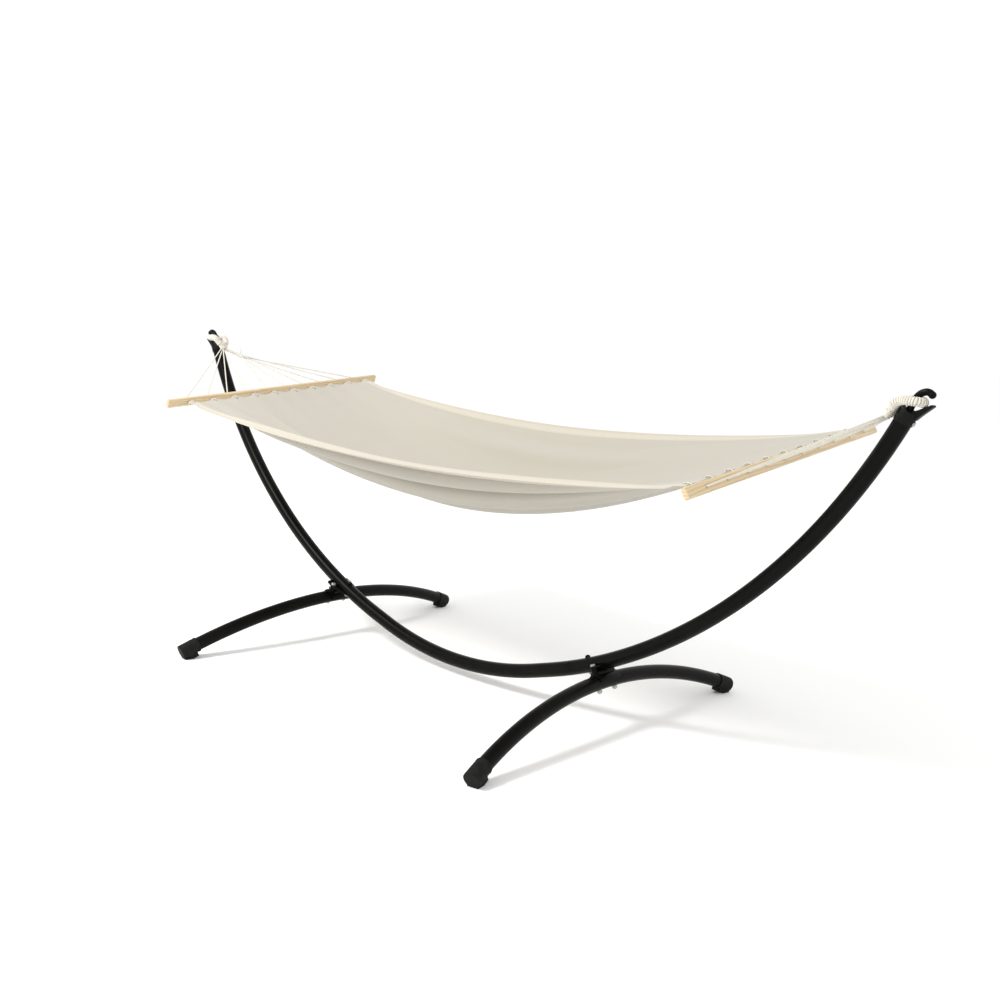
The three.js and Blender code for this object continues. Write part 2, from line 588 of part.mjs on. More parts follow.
function cordGather() {
  const ring = (x, y, z) => circlePoints(GATHER_RADIUS, ROD_SIDES).map((c) =>
    new THREE.Vector3(x, y + c.x, z + c.y));
  return loft([ring(-knot.x + GAP, GATHER_RADIUS, knot.z), ring(gather.x, gather.y, gather.z)]);
}

function suspensionCord(bar, i) {
  const side = bar.out;
  const fromGather = side < 0 && i >= LEFT_GATHERED_FROM;
  const origin = fromGather ? gather : new THREE.Vector3(side * knot.x, 0, knot.z);
  const place = fromGather ? i - (LEFT_GATHERED_FROM + CORD_COUNT - 1) / 2 : i - (CORD_COUNT - 1) / 2;
  const row = i % 2 === 0 ? CORD_FAN_ROW : -CORD_FAN_ROW;
  const y = cordY(i);
  const faceOut = BAR_THICKNESS / 2 + CORD_BEND_FROM_BAR;
  const clothEdge = clothPoint(side, y / CLOTH_HALF_WIDTH);
  const points = [
    new THREE.Vector3(origin.x - side * CORD_START, origin.y + place * CORD_FAN_PITCH, origin.z + row),
    new THREE.Vector3(side * faceOut, y, 0).applyMatrix4(bar.frame),
    new THREE.Vector3(-side * faceOut, y, 0).applyMatrix4(bar.frame),
    clothEdge.clone().add(new THREE.Vector3(side * CORD_CLOTH_GAP, 0, -CLOTH_THICKNESS / 2)),
  ];
  return mitredCord(points, CORD_RADIUS, CORD_SIDES);
}

// ---------------------------------------------------------------- assembly
const hammock = new THREE.Group();

function add(group, name, geometry, material) {
  const mesh = new THREE.Mesh(geometry, material);
  mesh.name = name;
  group.add(mesh);
}

add(hammock, 'arc_tube_middle', middleTube(), BLACK_PAINT());

for (const end of ['right', 'left']) {
  const half = new THREE.Group();
  half.rotation.z = end === 'left' ? Math.PI : 0;
  // The half turn swaps near and far as well, so the names follow the turned place.
  const sideName = (y) => ((y < 0) === (end === 'right') ? 'near' : 'far');
  add(half, `arc_tube_${end}`, sideTube(), BLACK_PAINT());
  add(half, `joint_sleeve_${end}`, jointSleeve(), ZINC());
  add(half, `joint_bolt_${end}`, jointBolt(), ZINC());
  add(half, `joint_nut_${end}`, domedNut(), BLACK_RUBBER());
  add(half, `foot_arch_${end}`, footArch(), BLACK_PAINT());
  add(half, `saddle_${end}`, saddleBracket(), BLACK_PAINT());
  for (const y of [-SADDLE_BOLT_Y, SADDLE_BOLT_Y]) {
    add(half, `saddle_bolt_${end}_${sideName(y)}`, saddleBolt(y), ZINC());
    add(half, `saddle_nut_${end}_${sideName(y)}`, saddleNut(y), ZINC());
    add(half, `rubber_foot_${end}_${sideName(y)}`, rubberFoot(Math.sign(y)), BLACK_RUBBER());
  }
  add(half, `hook_${end}`, hookFinger(), BLACK_PAINT());
  add(half, `hook_cap_${end}`, hookCap(), BLACK_RUBBER());
  add(half, `hook_bolt_${end}`, hookBolt(), ZINC());
  add(half, `rope_loop_${end}`, ropeLoop(), COTTON_ROPE());
  add(half, `rope_binding_${end}`, ropeBinding(), COTTON_ROPE());
  hammock.add(half);
}

add(hammock, 'spreader_bar_left', spreaderBar(leftBar), PINE());
add(hammock, 'spreader_bar_right', spreaderBar(rightBar), PINE());
add(hammock, 'cord_gather_left', cordGather(), COTTON_ROPE());
for (let i = 0; i < CORD_COUNT; i += 1) {
  add(hammock, `cord_left_${i + 1}`, suspensionCord(leftBar, i), COTTON_ROPE());
  add(hammock, `cord_right_${i + 1}`, suspensionCord(rightBar, i), COTTON_ROPE());
}
add(hammock, 'cloth_bed', clothBed(), CANVAS());

export default hammock;
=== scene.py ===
"""Looks of the hammock on its curved steel stand, in metres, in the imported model's frame.

+X runs along the stand, +Y across it and +Z up. The stand's left end is its right end
turned half a turn about Z, so each stand piece is built once, at the right.
"""
import math

import bmesh
import bpy
import numpy as np
from mathutils import Matrix


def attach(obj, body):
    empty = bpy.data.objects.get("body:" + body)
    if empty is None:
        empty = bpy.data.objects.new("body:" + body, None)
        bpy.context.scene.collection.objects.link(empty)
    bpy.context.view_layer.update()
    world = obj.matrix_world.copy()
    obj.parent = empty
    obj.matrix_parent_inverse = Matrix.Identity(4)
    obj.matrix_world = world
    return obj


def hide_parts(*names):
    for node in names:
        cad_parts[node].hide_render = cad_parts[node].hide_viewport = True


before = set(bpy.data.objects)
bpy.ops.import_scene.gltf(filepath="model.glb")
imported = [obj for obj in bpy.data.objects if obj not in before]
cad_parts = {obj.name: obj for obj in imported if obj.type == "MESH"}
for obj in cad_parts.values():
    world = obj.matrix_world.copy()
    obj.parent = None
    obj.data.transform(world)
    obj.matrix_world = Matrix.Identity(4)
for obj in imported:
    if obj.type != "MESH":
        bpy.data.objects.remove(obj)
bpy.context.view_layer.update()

# ---------------------------------------------------------------- camera
CAMERA_AZIMUTH = 42.11
CAMERA_ELEVATION = 8.995
CAMERA_ROLL = 3.375
CAMERA_PLACE = (2.306, -2.386, 1.083)
CAMERA_LENS = 39.85

# ---------------------------------------------------------------- stand sizes
TUBE_RADIUS = 0.021
TUBE_WALL = 0.0018
MIDDLE_BEND_RADIUS = 1.108
MIDDLE_BEND_LENGTH = 0.328
STRAIGHT_LENGTH = 0.056
SIDE_BEND_RADIUS = 1.555
ARC_HALF_LENGTH = 1.691
TUBE_SEAM_AT = 0.475
TUBE_SEAM_GAP = 0.0006
JOINT_BOLT_AT = 0.537
SADDLE_AT = 0.576
FOOT_TUBE_RADIUS = 0.0205
FOOT_BEND_RADIUS = 1.363
FOOT_HALF_LENGTH = 0.584
FOOT_AXIS_HEIGHT = 0.0227
SADDLE_PLATE = 0.004
SADDLE_LENGTH = 0.054
SADDLE_HALF_WIDTH = 0.043
SADDLE_BOLT_Y = 0.034
SADDLE_POST_RADIUS = 0.0085
SADDLE_CORNER_RADIUS = 0.009
SADDLE_WEB_SHARE = 0.6
FLANGE_BELOW_AXIS = 0.004
CLEARANCE = 0.0003
# A length that takes a cutting block well past the piece that it cuts.
BEYOND = 0.1
FOOT_BELOW_ARC = TUBE_RADIUS + 2 * SADDLE_PLATE + 2 * CLEARANCE + FOOT_TUBE_RADIUS

FOOT_CAP_WALL = 0.0022
FOOT_CAP_GRIP = 0.050
FOOT_CAP_END = 0.008
FOOT_PAD_WIDTH = 0.031
FOOT_PAD_LENGTH = 0.045

BOLT_RADIUS = 0.004
BOLT_HEAD_FLATS = 0.013
BOLT_HEAD_HEIGHT = 0.0055
NUT_HEIGHT = 0.0065
DOMED_NUT_SIDE = 0.004
DOMED_NUT_TOP = 0.007
DOMED_NUT_RIM = 0.0015
WASHER_RADIUS = 0.0082
WASHER_HEIGHT = 0.0012
BOLT_PAST_NUT = 0.002
HOOK_BOLT_RADIUS = 0.003
HOOK_BOLT_DOWN = 0.018

HOOK_RADIUS = 0.008
HOOK_TIP_SWELL = 1.06
CAP_WALL = 0.0016
CAP_SKIRT = 0.026
CAP_TOP = 0.004
WING_HALF_WIDTH = 0.009
WRAP_CORD_RADIUS = 0.0025
WRAP_BEDDING = WRAP_CORD_RADIUS * 1.3
ROPE_FULLNESS = 0.001
ROPE_RADIUS = 0.010
ROPE_HOOK_GAP = 0.0015
BINDING_HALF_WIDTH = 1.8 * ROPE_RADIUS
BINDING_HALF_HEIGHT = ROPE_RADIUS

# ---------------------------------------------------------------- hammock sizes
BAR_LENGTH = 0.892
BAR_HEIGHT = 0.028
BAR_THICKNESS = 0.014
BAR_END_RADIUS = 0.005
# Distance from the bar's end, and how far in the section is there.
BAR_EASED_END = [(0.0, 0.0022), (0.0007, 0.0008), (0.0022, 0.0)]
LEFT_BAR = {"reach": 0.348, "drop": 0.125, "tilt": math.radians(5.6)}
RIGHT_BAR = {"reach": 0.223, "drop": 0.118, "tilt": math.radians(7.2)}
CORD_COUNT = 10
CORD_RADIUS = 0.0022
CORD_PITCH = 0.083
CORD_HOLE_RADIUS = CORD_RADIUS + 0.0009
DRILL_REACH = 0.03
CORD_FAN_PITCH = CORD_RADIUS + 0.0006
CORD_FAN_ROW = CORD_RADIUS + 0.0005
CORD_START = 0.0022
CORD_STEP = 0.0012
LEFT_GATHERED_FROM = 4
LEFT_GATHER = {"along": 0.070, "across": 0.034, "down": 0.023}
TIE_RADIUS = 0.0065
TIE_CORD_RADIUS = 0.0013
# The tie's loose end, from the second gathering point.
LOOSE_END = [(-0.008, 0.0, 0.004), (-0.012, -0.001, 0.014), (-0.012, 0.0, 0.026)]
CLOTH_HALF_WIDTH = 0.384
CLOTH_SOLID = 0.003
CLOTH_THICKNESS = 0.0012
CLOTH_GAP_LEFT = 0.031
CLOTH_GAP_RIGHT = 0.036
CLOTH_EDGE_SAG = 0.066
CLOTH_TROUGH = 0.185
CLOTH_NARROWING = 0.036
CLOTH_SAG_POWER = 1.87
EYELET_INSET = 0.012
SIDE_HEM = 0.022
END_HEM = 0.042


# ---------------------------------------------------------------- materials
class Nodes:
    """A small builder for one material's node tree."""

    def __init__(self, name):
        self.material = bpy.data.materials.new(name)
        self.material.use_nodes = True
        self.tree = self.material.node_tree
        self.shader = self.tree.nodes["Principled BSDF"]

    def add(self, kind, **values):
        node = self.tree.nodes.new(kind)
        for key, value in values.items():
            if key in node.inputs:
                node.inputs[key].default_value = value
            else:
                setattr(node, key, value)
        return node

    def link(self, source, target):
        self.tree.links.new(source, target)

    def math(self, operation, a, b=0.0):
        node = self.add("ShaderNodeMath", operation=operation)
        for socket, value in zip(node.inputs, (a, b)):
            if isinstance(value, (int, float)):
                socket.default_value = value
            else:
                self.link(value, socket)
        return node.outputs[0]

    def noise(self, vector, scale, detail=4.0, roughness=0.55):
        node = self.add("ShaderNodeTexNoise", Scale=scale, Detail=detail, Roughness=roughness)
        self.link(vector, node.inputs["Vector"])
        return node.outputs["Fac"]

    def place(self):
        return self.add("ShaderNodeTexCoord").outputs["Object"]

    def scaled(self, vector, scale):
        node = self.add("ShaderNodeMapping")
        node.inputs["Scale"].default_value = scale
        self.link(vector, node.inputs["Vector"])
        return node.outputs["Vector"]

    def ramp(self, factor, stops):
        node = self.add("ShaderNodeValToRGB")
        elements = node.color_ramp.elements
        while len(elements) < len(stops):
            elements.new(0.5)
        for element, (position, colour) in zip(elements, stops):
            element.position = position
            element.color = (*colour, 1.0)
        self.link(factor, node.inputs["Fac"])
        return node.outputs["Color"]

    def spread(self, factor, low, high):
        node = self.add("ShaderNodeMapRange")
        node.inputs["To Min"].default_value = low
        node.inputs["To Max"].default_value = high
        self.link(factor, node.inputs["Value"])
        return node.outputs["Result"]

    def mix(self, factor, a, b):
        node = self.add("ShaderNodeMix", data_type="RGBA")
        self.link(factor, node.inputs["Factor"])
        for name, value in (("A", a), ("B", b)):
            socket = [s for s in node.inputs if s.name == name and s.type == "RGBA"][0]
            if isinstance(value, tuple):
                socket.default_value = (*value, 1.0)
            else:
                self.link(value, socket)
        return [s for s in node.outputs if s.type == "RGBA"][0]

    def bump(self, height, distance, strength=1.0, below=None):
        node = self.add("ShaderNodeBump", Strength=strength, Distance=distance)
        self.link(height, node.inputs["Height"])
        if below is not None:
            self.link(below, node.inputs["Normal"])
        return node.outputs["Normal"]

    def finish(self, colour=None, roughness=None, normal=None, **fixed):
        for socket, value in (("Base Color", colour), ("Roughness", roughness), ("Normal", normal)):
            if value is not None:
                self.link(value, self.shader.inputs[socket])
        for socket, value in fixed.items():
            self.shader.inputs[socket.replace("_", " ")].default_value = value
        return self.material


def black_paint():
    """Satin powder coat: near black, with fine orange peel and faint dulled patches."""
    n = Nodes("black_paint")
    place = n.place()
    patches = n.noise(place, 14.0)
    colour = n.ramp(patches, [(0.3, (0.0018, 0.0018, 0.0015)), (0.75, (0.0032, 0.0031, 0.0026))])
    roughness = n.spread(n.noise(place, 60.0, 3.0), 0.27, 0.36)
    peel = n.bump(n.noise(place, 900.0, 2.0), 0.00006, 0.5)
    return n.finish(colour, roughness, peel, Specular_IOR_Level=0.075)


def black_rubber():
    """Moulded rubber with a fine grain and paler scuffs."""
    n = Nodes("black_rubber")
    place = n.place()
    scuffs = n.noise(place, 55.0, 6.0)
    colour = n.ramp(scuffs, [(0.35, (0.0042, 0.0042, 0.0038)), (0.8, (0.0115, 0.0112, 0.0105))])
    roughness = n.spread(n.noise(place, 90.0), 0.62, 0.82)
    grain = n.bump(n.noise(place, 1600.0, 2.0), 0.00012, 0.6)
    return n.finish(colour, roughness, grain, Specular_IOR_Level=0.15)


def black_plastic():
    """Moulded plastic, a little glossier than the rubber."""
    n = Nodes("black_plastic")
    place = n.place()
    clouds = n.noise(place, 30.0)
    colour = n.ramp(clouds, [(0.3, (0.0026, 0.0026, 0.0023)), (0.8, (0.0050, 0.0050, 0.0046))])
    roughness = n.spread(n.noise(place, 70.0), 0.40, 0.55)
    grain = n.bump(n.noise(place, 1300.0, 2.0), 0.00008, 0.5)
    return n.finish(colour, roughness, grain, Specular_IOR_Level=0.11)


def zinc():
    """Zinc-plated steel with cloudy spangle and fine scratches."""
    n = Nodes("zinc")
    place = n.place()
    colour = n.ramp(n.noise(place, 220.0), [(0.3, (0.27, 0.275, 0.28)), (0.7, (0.44, 0.445, 0.45))])
    roughness = n.spread(n.noise(place, 400.0), 0.28, 0.48)
    scratches = n.noise(n.scaled(place, (1.0, 1.0, 8.0)), 500.0)
    return n.finish(colour, roughness, n.bump(scratches, 0.00004, 0.5), Metallic=1.0)


def pine():
    """Clear-lacquered pine: pale wood, darker growth lines along the bar, a few flecks."""
    n = Nodes("pine")
    local = n.add("ShaderNodeAttribute", attribute_name="local").outputs["Vector"]
    wander = n.noise(n.scaled(local, (8.0, 1.6, 8.0)), 2.0, 3.0)
    rings = n.add("ShaderNodeTexWave", wave_type="RINGS", rings_direction="Y", Scale=34.0, Distortion=0.0)
    shifted = n.add("ShaderNodeVectorMath", operation="ADD")
    offset = n.add("ShaderNodeCombineXYZ", Z=0.035)
    n.link(n.spread(wander, -0.03, 0.05), offset.inputs["X"])
    n.link(n.scaled(local, (1.0, 0.02, 1.0)), shifted.inputs[0])
    n.link(offset.outputs[0], shifted.inputs[1])
    n.link(shifted.outputs[0], rings.inputs["Vector"])
    base = n.ramp(rings.outputs["Fac"], [(0.15, (0.60, 0.47, 0.29)), (0.75, (0.48, 0.345, 0.18))])
    fibre = n.noise(n.scaled(local, (240.0, 6.0, 240.0)), 3.0, 5.0, 0.65)
    colour = n.mix(n.spread(fibre, 0.0, 0.55), base, (0.62, 0.51, 0.335))
    roughness = n.spread(fibre, 0.38, 0.55)
    relief = n.bump(fibre, 0.0001, 0.5)
    return n.finish(colour, roughness, relief, Coat_Weight=0.12, Coat_Roughness=0.3)


def cotton_rope():
    """Natural twisted cotton: off-white, with fine fibres and soiled creases."""
    n = Nodes("cotton_rope")
    place = n.place()
    fuzz = n.noise(place, 1400.0, 4.0, 0.7)
    tone = n.mix(n.noise(place, 45.0), (0.64, 0.61, 0.53), (0.71, 0.69, 0.62))
    colour = n.mix(n.spread(fuzz, 0.0, 0.5), tone, (0.50, 0.46, 0.38))
    normal = n.bump(fuzz, 0.00025, 0.6)
    return n.finish(colour, None, normal, Roughness=0.88, Sheen_Weight=0.25, Sheen_Roughness=0.5)


def canvas():
    """Unbleached plain-woven cotton: threads, slubs, two rows of stitches in each hem, and painted shade
    darkening the underside in the grooves of the folds.
    """
    n = Nodes("canvas")
    flat = n.add("ShaderNodeUVMap", uv_map="flat").outputs["UV"]
    warp = n.add("ShaderNodeTexWave", bands_direction="Y", Scale=CANVAS_THREADS, Distortion=1.2)
    weft = n.add("ShaderNodeTexWave", bands_direction="X", Scale=CANVAS_THREADS, Distortion=1.2)
    n.link(flat, warp.inputs["Vector"])
    n.link(flat, weft.inputs["Vector"])
    weave = n.math("MULTIPLY", warp.outputs["Fac"], weft.outputs["Fac"])
    long_slubs = n.noise(n.scaled(flat, (9.0, 420.0, 1.0)), 1.0, 3.0)
    cross_slubs = n.noise(n.scaled(flat, (420.0, 9.0, 1.0)), 1.0, 3.0)
    clouds = n.noise(flat, 5.0, 3.0)
    tone = n.mix(clouds, CANVAS_COOL, CANVAS_WARM)
    hemmed = n.add("ShaderNodeAttribute", attribute_name="hemmed").outputs["Fac"]
    tone = n.mix(hemmed, tone, CANVAS_HEM)
    threads = n.math("ADD", n.math("MULTIPLY", long_slubs, 0.5), n.math("MULTIPLY", cross_slubs, 0.5))
    colour = n.mix(n.spread(threads, 0.0, 0.42), tone, CANVAS_DARK_THREAD)
    # Painted shade: the cloth's underside is darkened in the grooves between the pleats.
    crease_shade = n.add("ShaderNodeAttribute", attribute_name="crease_shade").outputs["Fac"]
    colour = n.mix(n.math("MULTIPLY", crease_shade, CREASE_SHADE_DEPTH), colour, CANVAS_CREASE_SHADE)
    stitch = n.add("ShaderNodeAttribute", attribute_name="stitch").outputs["Fac"]
    dashes = n.add("ShaderNodeTexWave", bands_direction="DIAGONAL", Scale=55.0)
    n.link(flat, dashes.inputs["Vector"])
    seam = n.math("MULTIPLY", stitch, n.spread(dashes.outputs["Fac"], 0.35, 1.0))
    stitched = n.mix(n.math("MULTIPLY", seam, 0.38), colour, (0.32, 0.285, 0.225))
    fine = n.bump(weave, 0.00022, 0.55)
    slubbed = n.bump(threads, 0.0005, 0.4, below=fine)
    sunk = n.bump(n.math("SUBTRACT", 1.0, seam), 0.0008, 0.7, below=slubbed)
    return n.finish(stitched, None, sunk, Roughness=0.93, Sheen_Weight=0.18, Sheen_Roughness=0.6)


CANVAS_THREADS = 160.0
CANVAS_WARM = (0.413, 0.388, 0.326)
CANVAS_COOL = (0.390, 0.371, 0.323)
CANVAS_DARK_THREAD = (0.330, 0.304, 0.247)
CANVAS_HEM = (0.520, 0.482, 0.405)
# The colour of the painted shade in the pleats' grooves, and how strongly it is laid on.
CANVAS_CREASE_SHADE = (0.235, 0.198, 0.135)
CREASE_SHADE_DEPTH = 0.85
MATERIALS = {
    "black_paint": black_paint(),
    "black_rubber": black_rubber(),
    "black_plastic": black_plastic(),
    "zinc_steel": zinc(),
    "pine": pine(),
    "cotton_rope": cotton_rope(),
    "canvas": canvas(),
}


# ---------------------------------------------------------------- shapes
# A shape is (points, faces): an array of points and a list of index tuples.
def merged(*shapes):
    points = []
    faces = []
    count = 0
    for shape_points, shape_faces in shapes:
        points.append(shape_points)
        faces += [tuple(i + count for i in face) for face in shape_faces]
        count += len(shape_points)
    return np.concatenate(points), faces


def placed(shape, matrix):
    points, faces = shape
    return points @ matrix[:3, :3].T + matrix[:3, 3], faces


def bridge(first, second, count):
    """Faces between two rings, given the index of each one's first point."""
    return [(first + i, first + (i + 1) % count, second + (i + 1) % count, second + i) for i in range(count)]


def rings_to_loop(rings):
    """A skin through rings of equal point count, with the last ring joined to the first."""
    count = len(rings[0])
    faces = []
    for i in range(len(rings)):
        faces += bridge(i * count, (i + 1) % len(rings) * count, count)
    return np.concatenate(rings), faces


def rings_to_shape(rings, caps=True):
    """A skin through rings of equal point count, with a flat cap on each end."""
    count = len(rings[0])
    faces = []
    for i in range(len(rings) - 1):
        faces += bridge(i * count, (i + 1) * count, count)
    if caps:
        faces.append(tuple(reversed(range(count))))
        faces.append(tuple(range((len(rings) - 1) * count, len(rings) * count)))
    return np.concatenate(rings), faces


def unit(vector):
    return vector / np.linalg.norm(vector)


def frames_along(route):
    """Side and up at each point of a route, carried along without twist."""
    tangents = np.gradient(route, axis=0)
    tangents /= np.linalg.norm(tangents, axis=1)[:, None]
    side = np.cross(tangents[0], (0.0, 0.0, 1.0))
    if np.linalg.norm(side) < 0.1:
        side = np.array((0.0, 1.0, 0.0))
    sides = []
    for tangent in tangents:
        side = unit(side - tangent * (side @ tangent))
        sides.append(side)
    sides = np.array(sides)
    return sides, np.cross(sides, tangents)


def swept(route, section, twist=None, scale=None, caps=True):
    """A flat section carried along a route, turned by twist and sized by scale at each point."""
    route = np.asarray(route, float)
    sides, ups = frames_along(route)
    rings = []
    for i, centre in enumerate(route):
        angle = 0.0 if twist is None else twist[i]
        size = 1.0 if scale is None else scale[i]
        x = (section[:, 0] * math.cos(angle) - section[:, 1] * math.sin(angle)) * size
        y = (section[:, 0] * math.sin(angle) + section[:, 1] * math.cos(angle)) * size
        rings.append(centre + x[:, None] * sides[i] + y[:, None] * ups[i])
    return rings_to_shape(rings, caps)


def circle(radius, sides):
    angles = np.arange(sides) * 2 * math.pi / sides
    return np.stack([radius * np.cos(angles), radius * np.sin(angles)], 1)


def strand_section(radius, strands=3, points_each=5):
    """The outline of a rope laid from round strands that touch each other."""
    share = math.sin(math.pi / strands)
    strand = radius * share / (1 + share)
    offset = radius - strand
    angles = np.arange(strands * points_each) * 2 * math.pi / (strands * points_each)
    local = (angles + math.pi / strands) % (2 * math.pi / strands) - math.pi / strands
    reach = offset * np.cos(local) + np.sqrt(np.maximum(strand**2 - (offset * np.sin(local)) ** 2, 0))
    return np.stack([reach * np.cos(angles), reach * np.sin(angles)], 1)


def smooth_route(points, steps_each):
    """A centripetal curve through the points."""
    points = np.asarray(points, float)
    ends = [2 * points[0] - points[1], *points, 2 * points[-1] - points[-2]]
    route = []
    for a, b, c, d in zip(ends, ends[1:], ends[2:], ends[3:]):
        t1 = np.linalg.norm(b - a) ** 0.5
        t2 = t1 + np.linalg.norm(c - b) ** 0.5
        t3 = t2 + np.linalg.norm(d - c) ** 0.5
        for t in np.linspace(t1, t2, steps_each, endpoint=False):
            ab = (t1 - t) / t1 * a + t / t1 * b
            bc = (t2 - t) / (t2 - t1) * b + (t - t1) / (t2 - t1) * c
            cd = (t3 - t) / (t3 - t2) * c + (t - t2) / (t3 - t2) * d
            left = (t2 - t) / t2 * ab + t / t2 * bc
            right = (t3 - t) / (t3 - t1) * bc + (t - t1) / (t3 - t1) * cd
            route.append((t2 - t) / (t2 - t1) * left + (t - t1) / (t2 - t1) * right)
    route.append(points[-1])
    return np.array(route)


def route_lengths(route):
    """Distance along a route to each of its points."""
    return np.concatenate([[0.0], np.cumsum(np.linalg.norm(np.diff(route, axis=0), axis=1))])


def along_route(at, known, route):
    """Points of a route at the given values of a measure that is known at its own points."""
    return np.stack([np.interp(at, known, route[:, k]) for k in range(3)], 1)


def even_route(route, step):
    """The same route with points a step apart."""
    route = np.asarray(route, float)
    lengths = route_lengths(route)
    count = max(int(round(lengths[-1] / step)), 2) + 1
    return along_route(np.linspace(0, lengths[-1], count), lengths, route)


def twisted_rope(route, radius, lay_length, step, strands=3, points_each=5):
    """A laid rope along a route."""
    route = even_route(route, step)
    turns = route_lengths(route) / lay_length
    return swept(route, strand_section(radius, strands, points_each), twist=2 * math.pi * turns)


# Distance between turns of a winding, in cord diameters.
TURN_SPACING = 1.02


def wound(route, half_width, half_height, cord_radius, sides=6, points_per_turn=18):
    """Close turns of cord round a route; the half sizes are to the outside of the turns at each point."""
    lengths = route_lengths(route)
    across, ups = frames_along(route)
    turns = lengths[-1] / (2 * cord_radius * TURN_SPACING)
    at = np.linspace(0, 1, int(turns * points_per_turn))
    share = lengths / lengths[-1]
    angle = 2 * math.pi * turns * at
    wide = np.interp(at, share, half_width) - cord_radius
    high = np.interp(at, share, half_height) - cord_radius
    helix = along_route(at, share, route) + (wide * np.cos(angle))[:, None] * along_route(at, share, across)
    helix = helix + (high * np.sin(angle))[:, None] * along_route(at, share, ups)
    return swept(helix, circle(cord_radius, sides))


def level_rings(profile, sides):
    """Level rings about local Z through (radius, height) points."""
    angles = np.arange(sides) * 2 * math.pi / sides
    ring = np.stack([np.cos(angles), np.sin(angles), np.zeros(sides)], 1)
    return [ring * radius + np.array((0.0, 0.0, height)) for radius, height in profile]


def lathe(profile, sides=48):
    """A solid turned about local Z through (radius, height) points."""
    return rings_to_shape(level_rings(profile, sides))


def cylinder(radius, bottom, top, sides=64):
    return lathe([(radius, bottom), (radius, top)], sides)


def block(low, high):
    x0, y0, z0 = low
    x1, y1, z1 = high
    lower = np.array([(x0, y0, z0), (x1, y0, z0), (x1, y1, z0), (x0, y1, z0)], float)
    upper = lower + np.array((0.0, 0.0, z1 - z0))
    return rings_to_shape([lower, upper])


def extruded(outline, bottom, top):
    lower = np.array([(x, y, bottom) for x, y in outline], float)
    upper = np.array([(x, y, top) for x, y in outline], float)
    return rings_to_shape([lower, upper])


def shift(x=0.0, y=0.0, z=0.0):
    matrix = np.eye(4)
    matrix[:3, 3] = (x, y, z)
    return matrix


def turn(axis, angle):
    return np.array(Matrix.Rotation(angle, 4, axis))


def frame_of(x, y, z, place=(0.0, 0.0, 0.0)):
    """The frame with these three axes at a place."""
    matrix = np.eye(4)
    matrix[:3] = np.stack([x, y, z, place], 1)
    return matrix


def linked(name, data):
    """A new object in the scene."""
    obj = bpy.data.objects.new(name, data)
    bpy.context.scene.collection.objects.link(obj)
    return obj


def to_object(name, shape):
    points, faces = shape
    mesh = bpy.data.meshes.new(name)
    mesh.from_pydata([tuple(p) for p in points], [], faces)
    work = bmesh.new()
    work.from_mesh(mesh)
    bmesh.ops.remove_doubles(work, verts=work.verts, dist=1e-6)
    bmesh.ops.recalc_face_normals(work, faces=work.faces)
    work.to_mesh(mesh)
    work.free()
    return linked(name, mesh)


def applied(obj):
    """Makes the object's modifiers part of its mesh."""
    evaluated = obj.evaluated_get(bpy.context.evaluated_depsgraph_get())
    mesh = bpy.data.meshes.new_from_object(evaluated)
    obj.modifiers.clear()
    obj.data = mesh
    return obj


def combined(obj, shape, operation):
    """Cuts a shape out of an object, or joins it on."""
    other = to_object("tool", shape)
    modifier = obj.modifiers.new("combine", "BOOLEAN")
    modifier.operation = operation
    modifier.object = other
    modifier.solver = "EXACT"
    applied(obj)
    bpy.data.objects.remove(other)
    return obj


def rounded(obj, width, segments=3):
    """Rounds the object's sharp edges."""
    modifier = obj.modifiers.new("round", "BEVEL")
    modifier.width = width
    modifier.segments = segments
    modifier.limit_method = "ANGLE"
    modifier.angle_limit = math.radians(35)
    modifier.use_clamp_overlap = True
    return applied(obj)


def finished(obj, slot, body, nodes, sharp_angle=40.0):
    """Shading, material, and the CAD nodes and body that the piece stands for."""
    mesh = obj.data
    mesh.polygons.foreach_set("use_smooth", [True] * len(mesh.polygons))
    mesh.set_sharp_from_angle(angle=math.radians(sharp_angle))
    mesh.materials.clear()
    mesh.materials.append(MATERIALS[slot])
    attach(obj, body)
    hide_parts(*nodes)
    return obj


def at_both_ends(obj, slot, node_right, node_left, sharp_angle=40.0):
    """Finishes a stand piece built at the right end, and its copy turned to the left end."""
    other = obj.copy()
    other.data = obj.data.copy()
    other.name = f"{node_left}_piece"
    other.data.transform(Matrix.Rotation(math.pi, 4, "Z"))
    bpy.context.scene.collection.objects.link(other)
    finished(obj, slot, "stand", [node_right], sharp_angle)
    finished(other, slot, "stand", [node_left], sharp_angle)


# ---------------------------------------------------------------- centrelines
def arc_pose(s):
    """x, rise and slope at distances s along the arc from its lowest point."""
    length = np.abs(s)
    middle = np.minimum(length, MIDDLE_BEND_LENGTH) / MIDDLE_BEND_RADIUS
    straight = np.clip(length - MIDDLE_BEND_LENGTH, 0, STRAIGHT_LENGTH)
    slope = middle + np.maximum(length - MIDDLE_BEND_LENGTH - STRAIGHT_LENGTH, 0) / SIDE_BEND_RADIUS
    x = MIDDLE_BEND_RADIUS * np.sin(middle) + straight * np.cos(middle)
    x = x + SIDE_BEND_RADIUS * (np.sin(slope) - np.sin(middle))
    rise = MIDDLE_BEND_RADIUS * (1 - np.cos(middle)) + straight * np.sin(middle)
    rise = rise + SIDE_BEND_RADIUS * (np.cos(middle) - np.cos(slope))
    return np.sign(s) * x, rise, np.sign(s) * slope


def foot_drop(s):
    return FOOT_BEND_RADIUS * (1 - np.cos(s / FOOT_BEND_RADIUS))


_, SADDLE_RISE, SADDLE_SLOPE = arc_pose(SADDLE_AT)
FOOT_TOP_HEIGHT = FOOT_AXIS_HEIGHT + foot_drop(FOOT_HALF_LENGTH) * math.cos(SADDLE_SLOPE)
ARC_LOWEST_AXIS = FOOT_TOP_HEIGHT + FOOT_BELOW_ARC * math.cos(SADDLE_SLOPE) - SADDLE_RISE


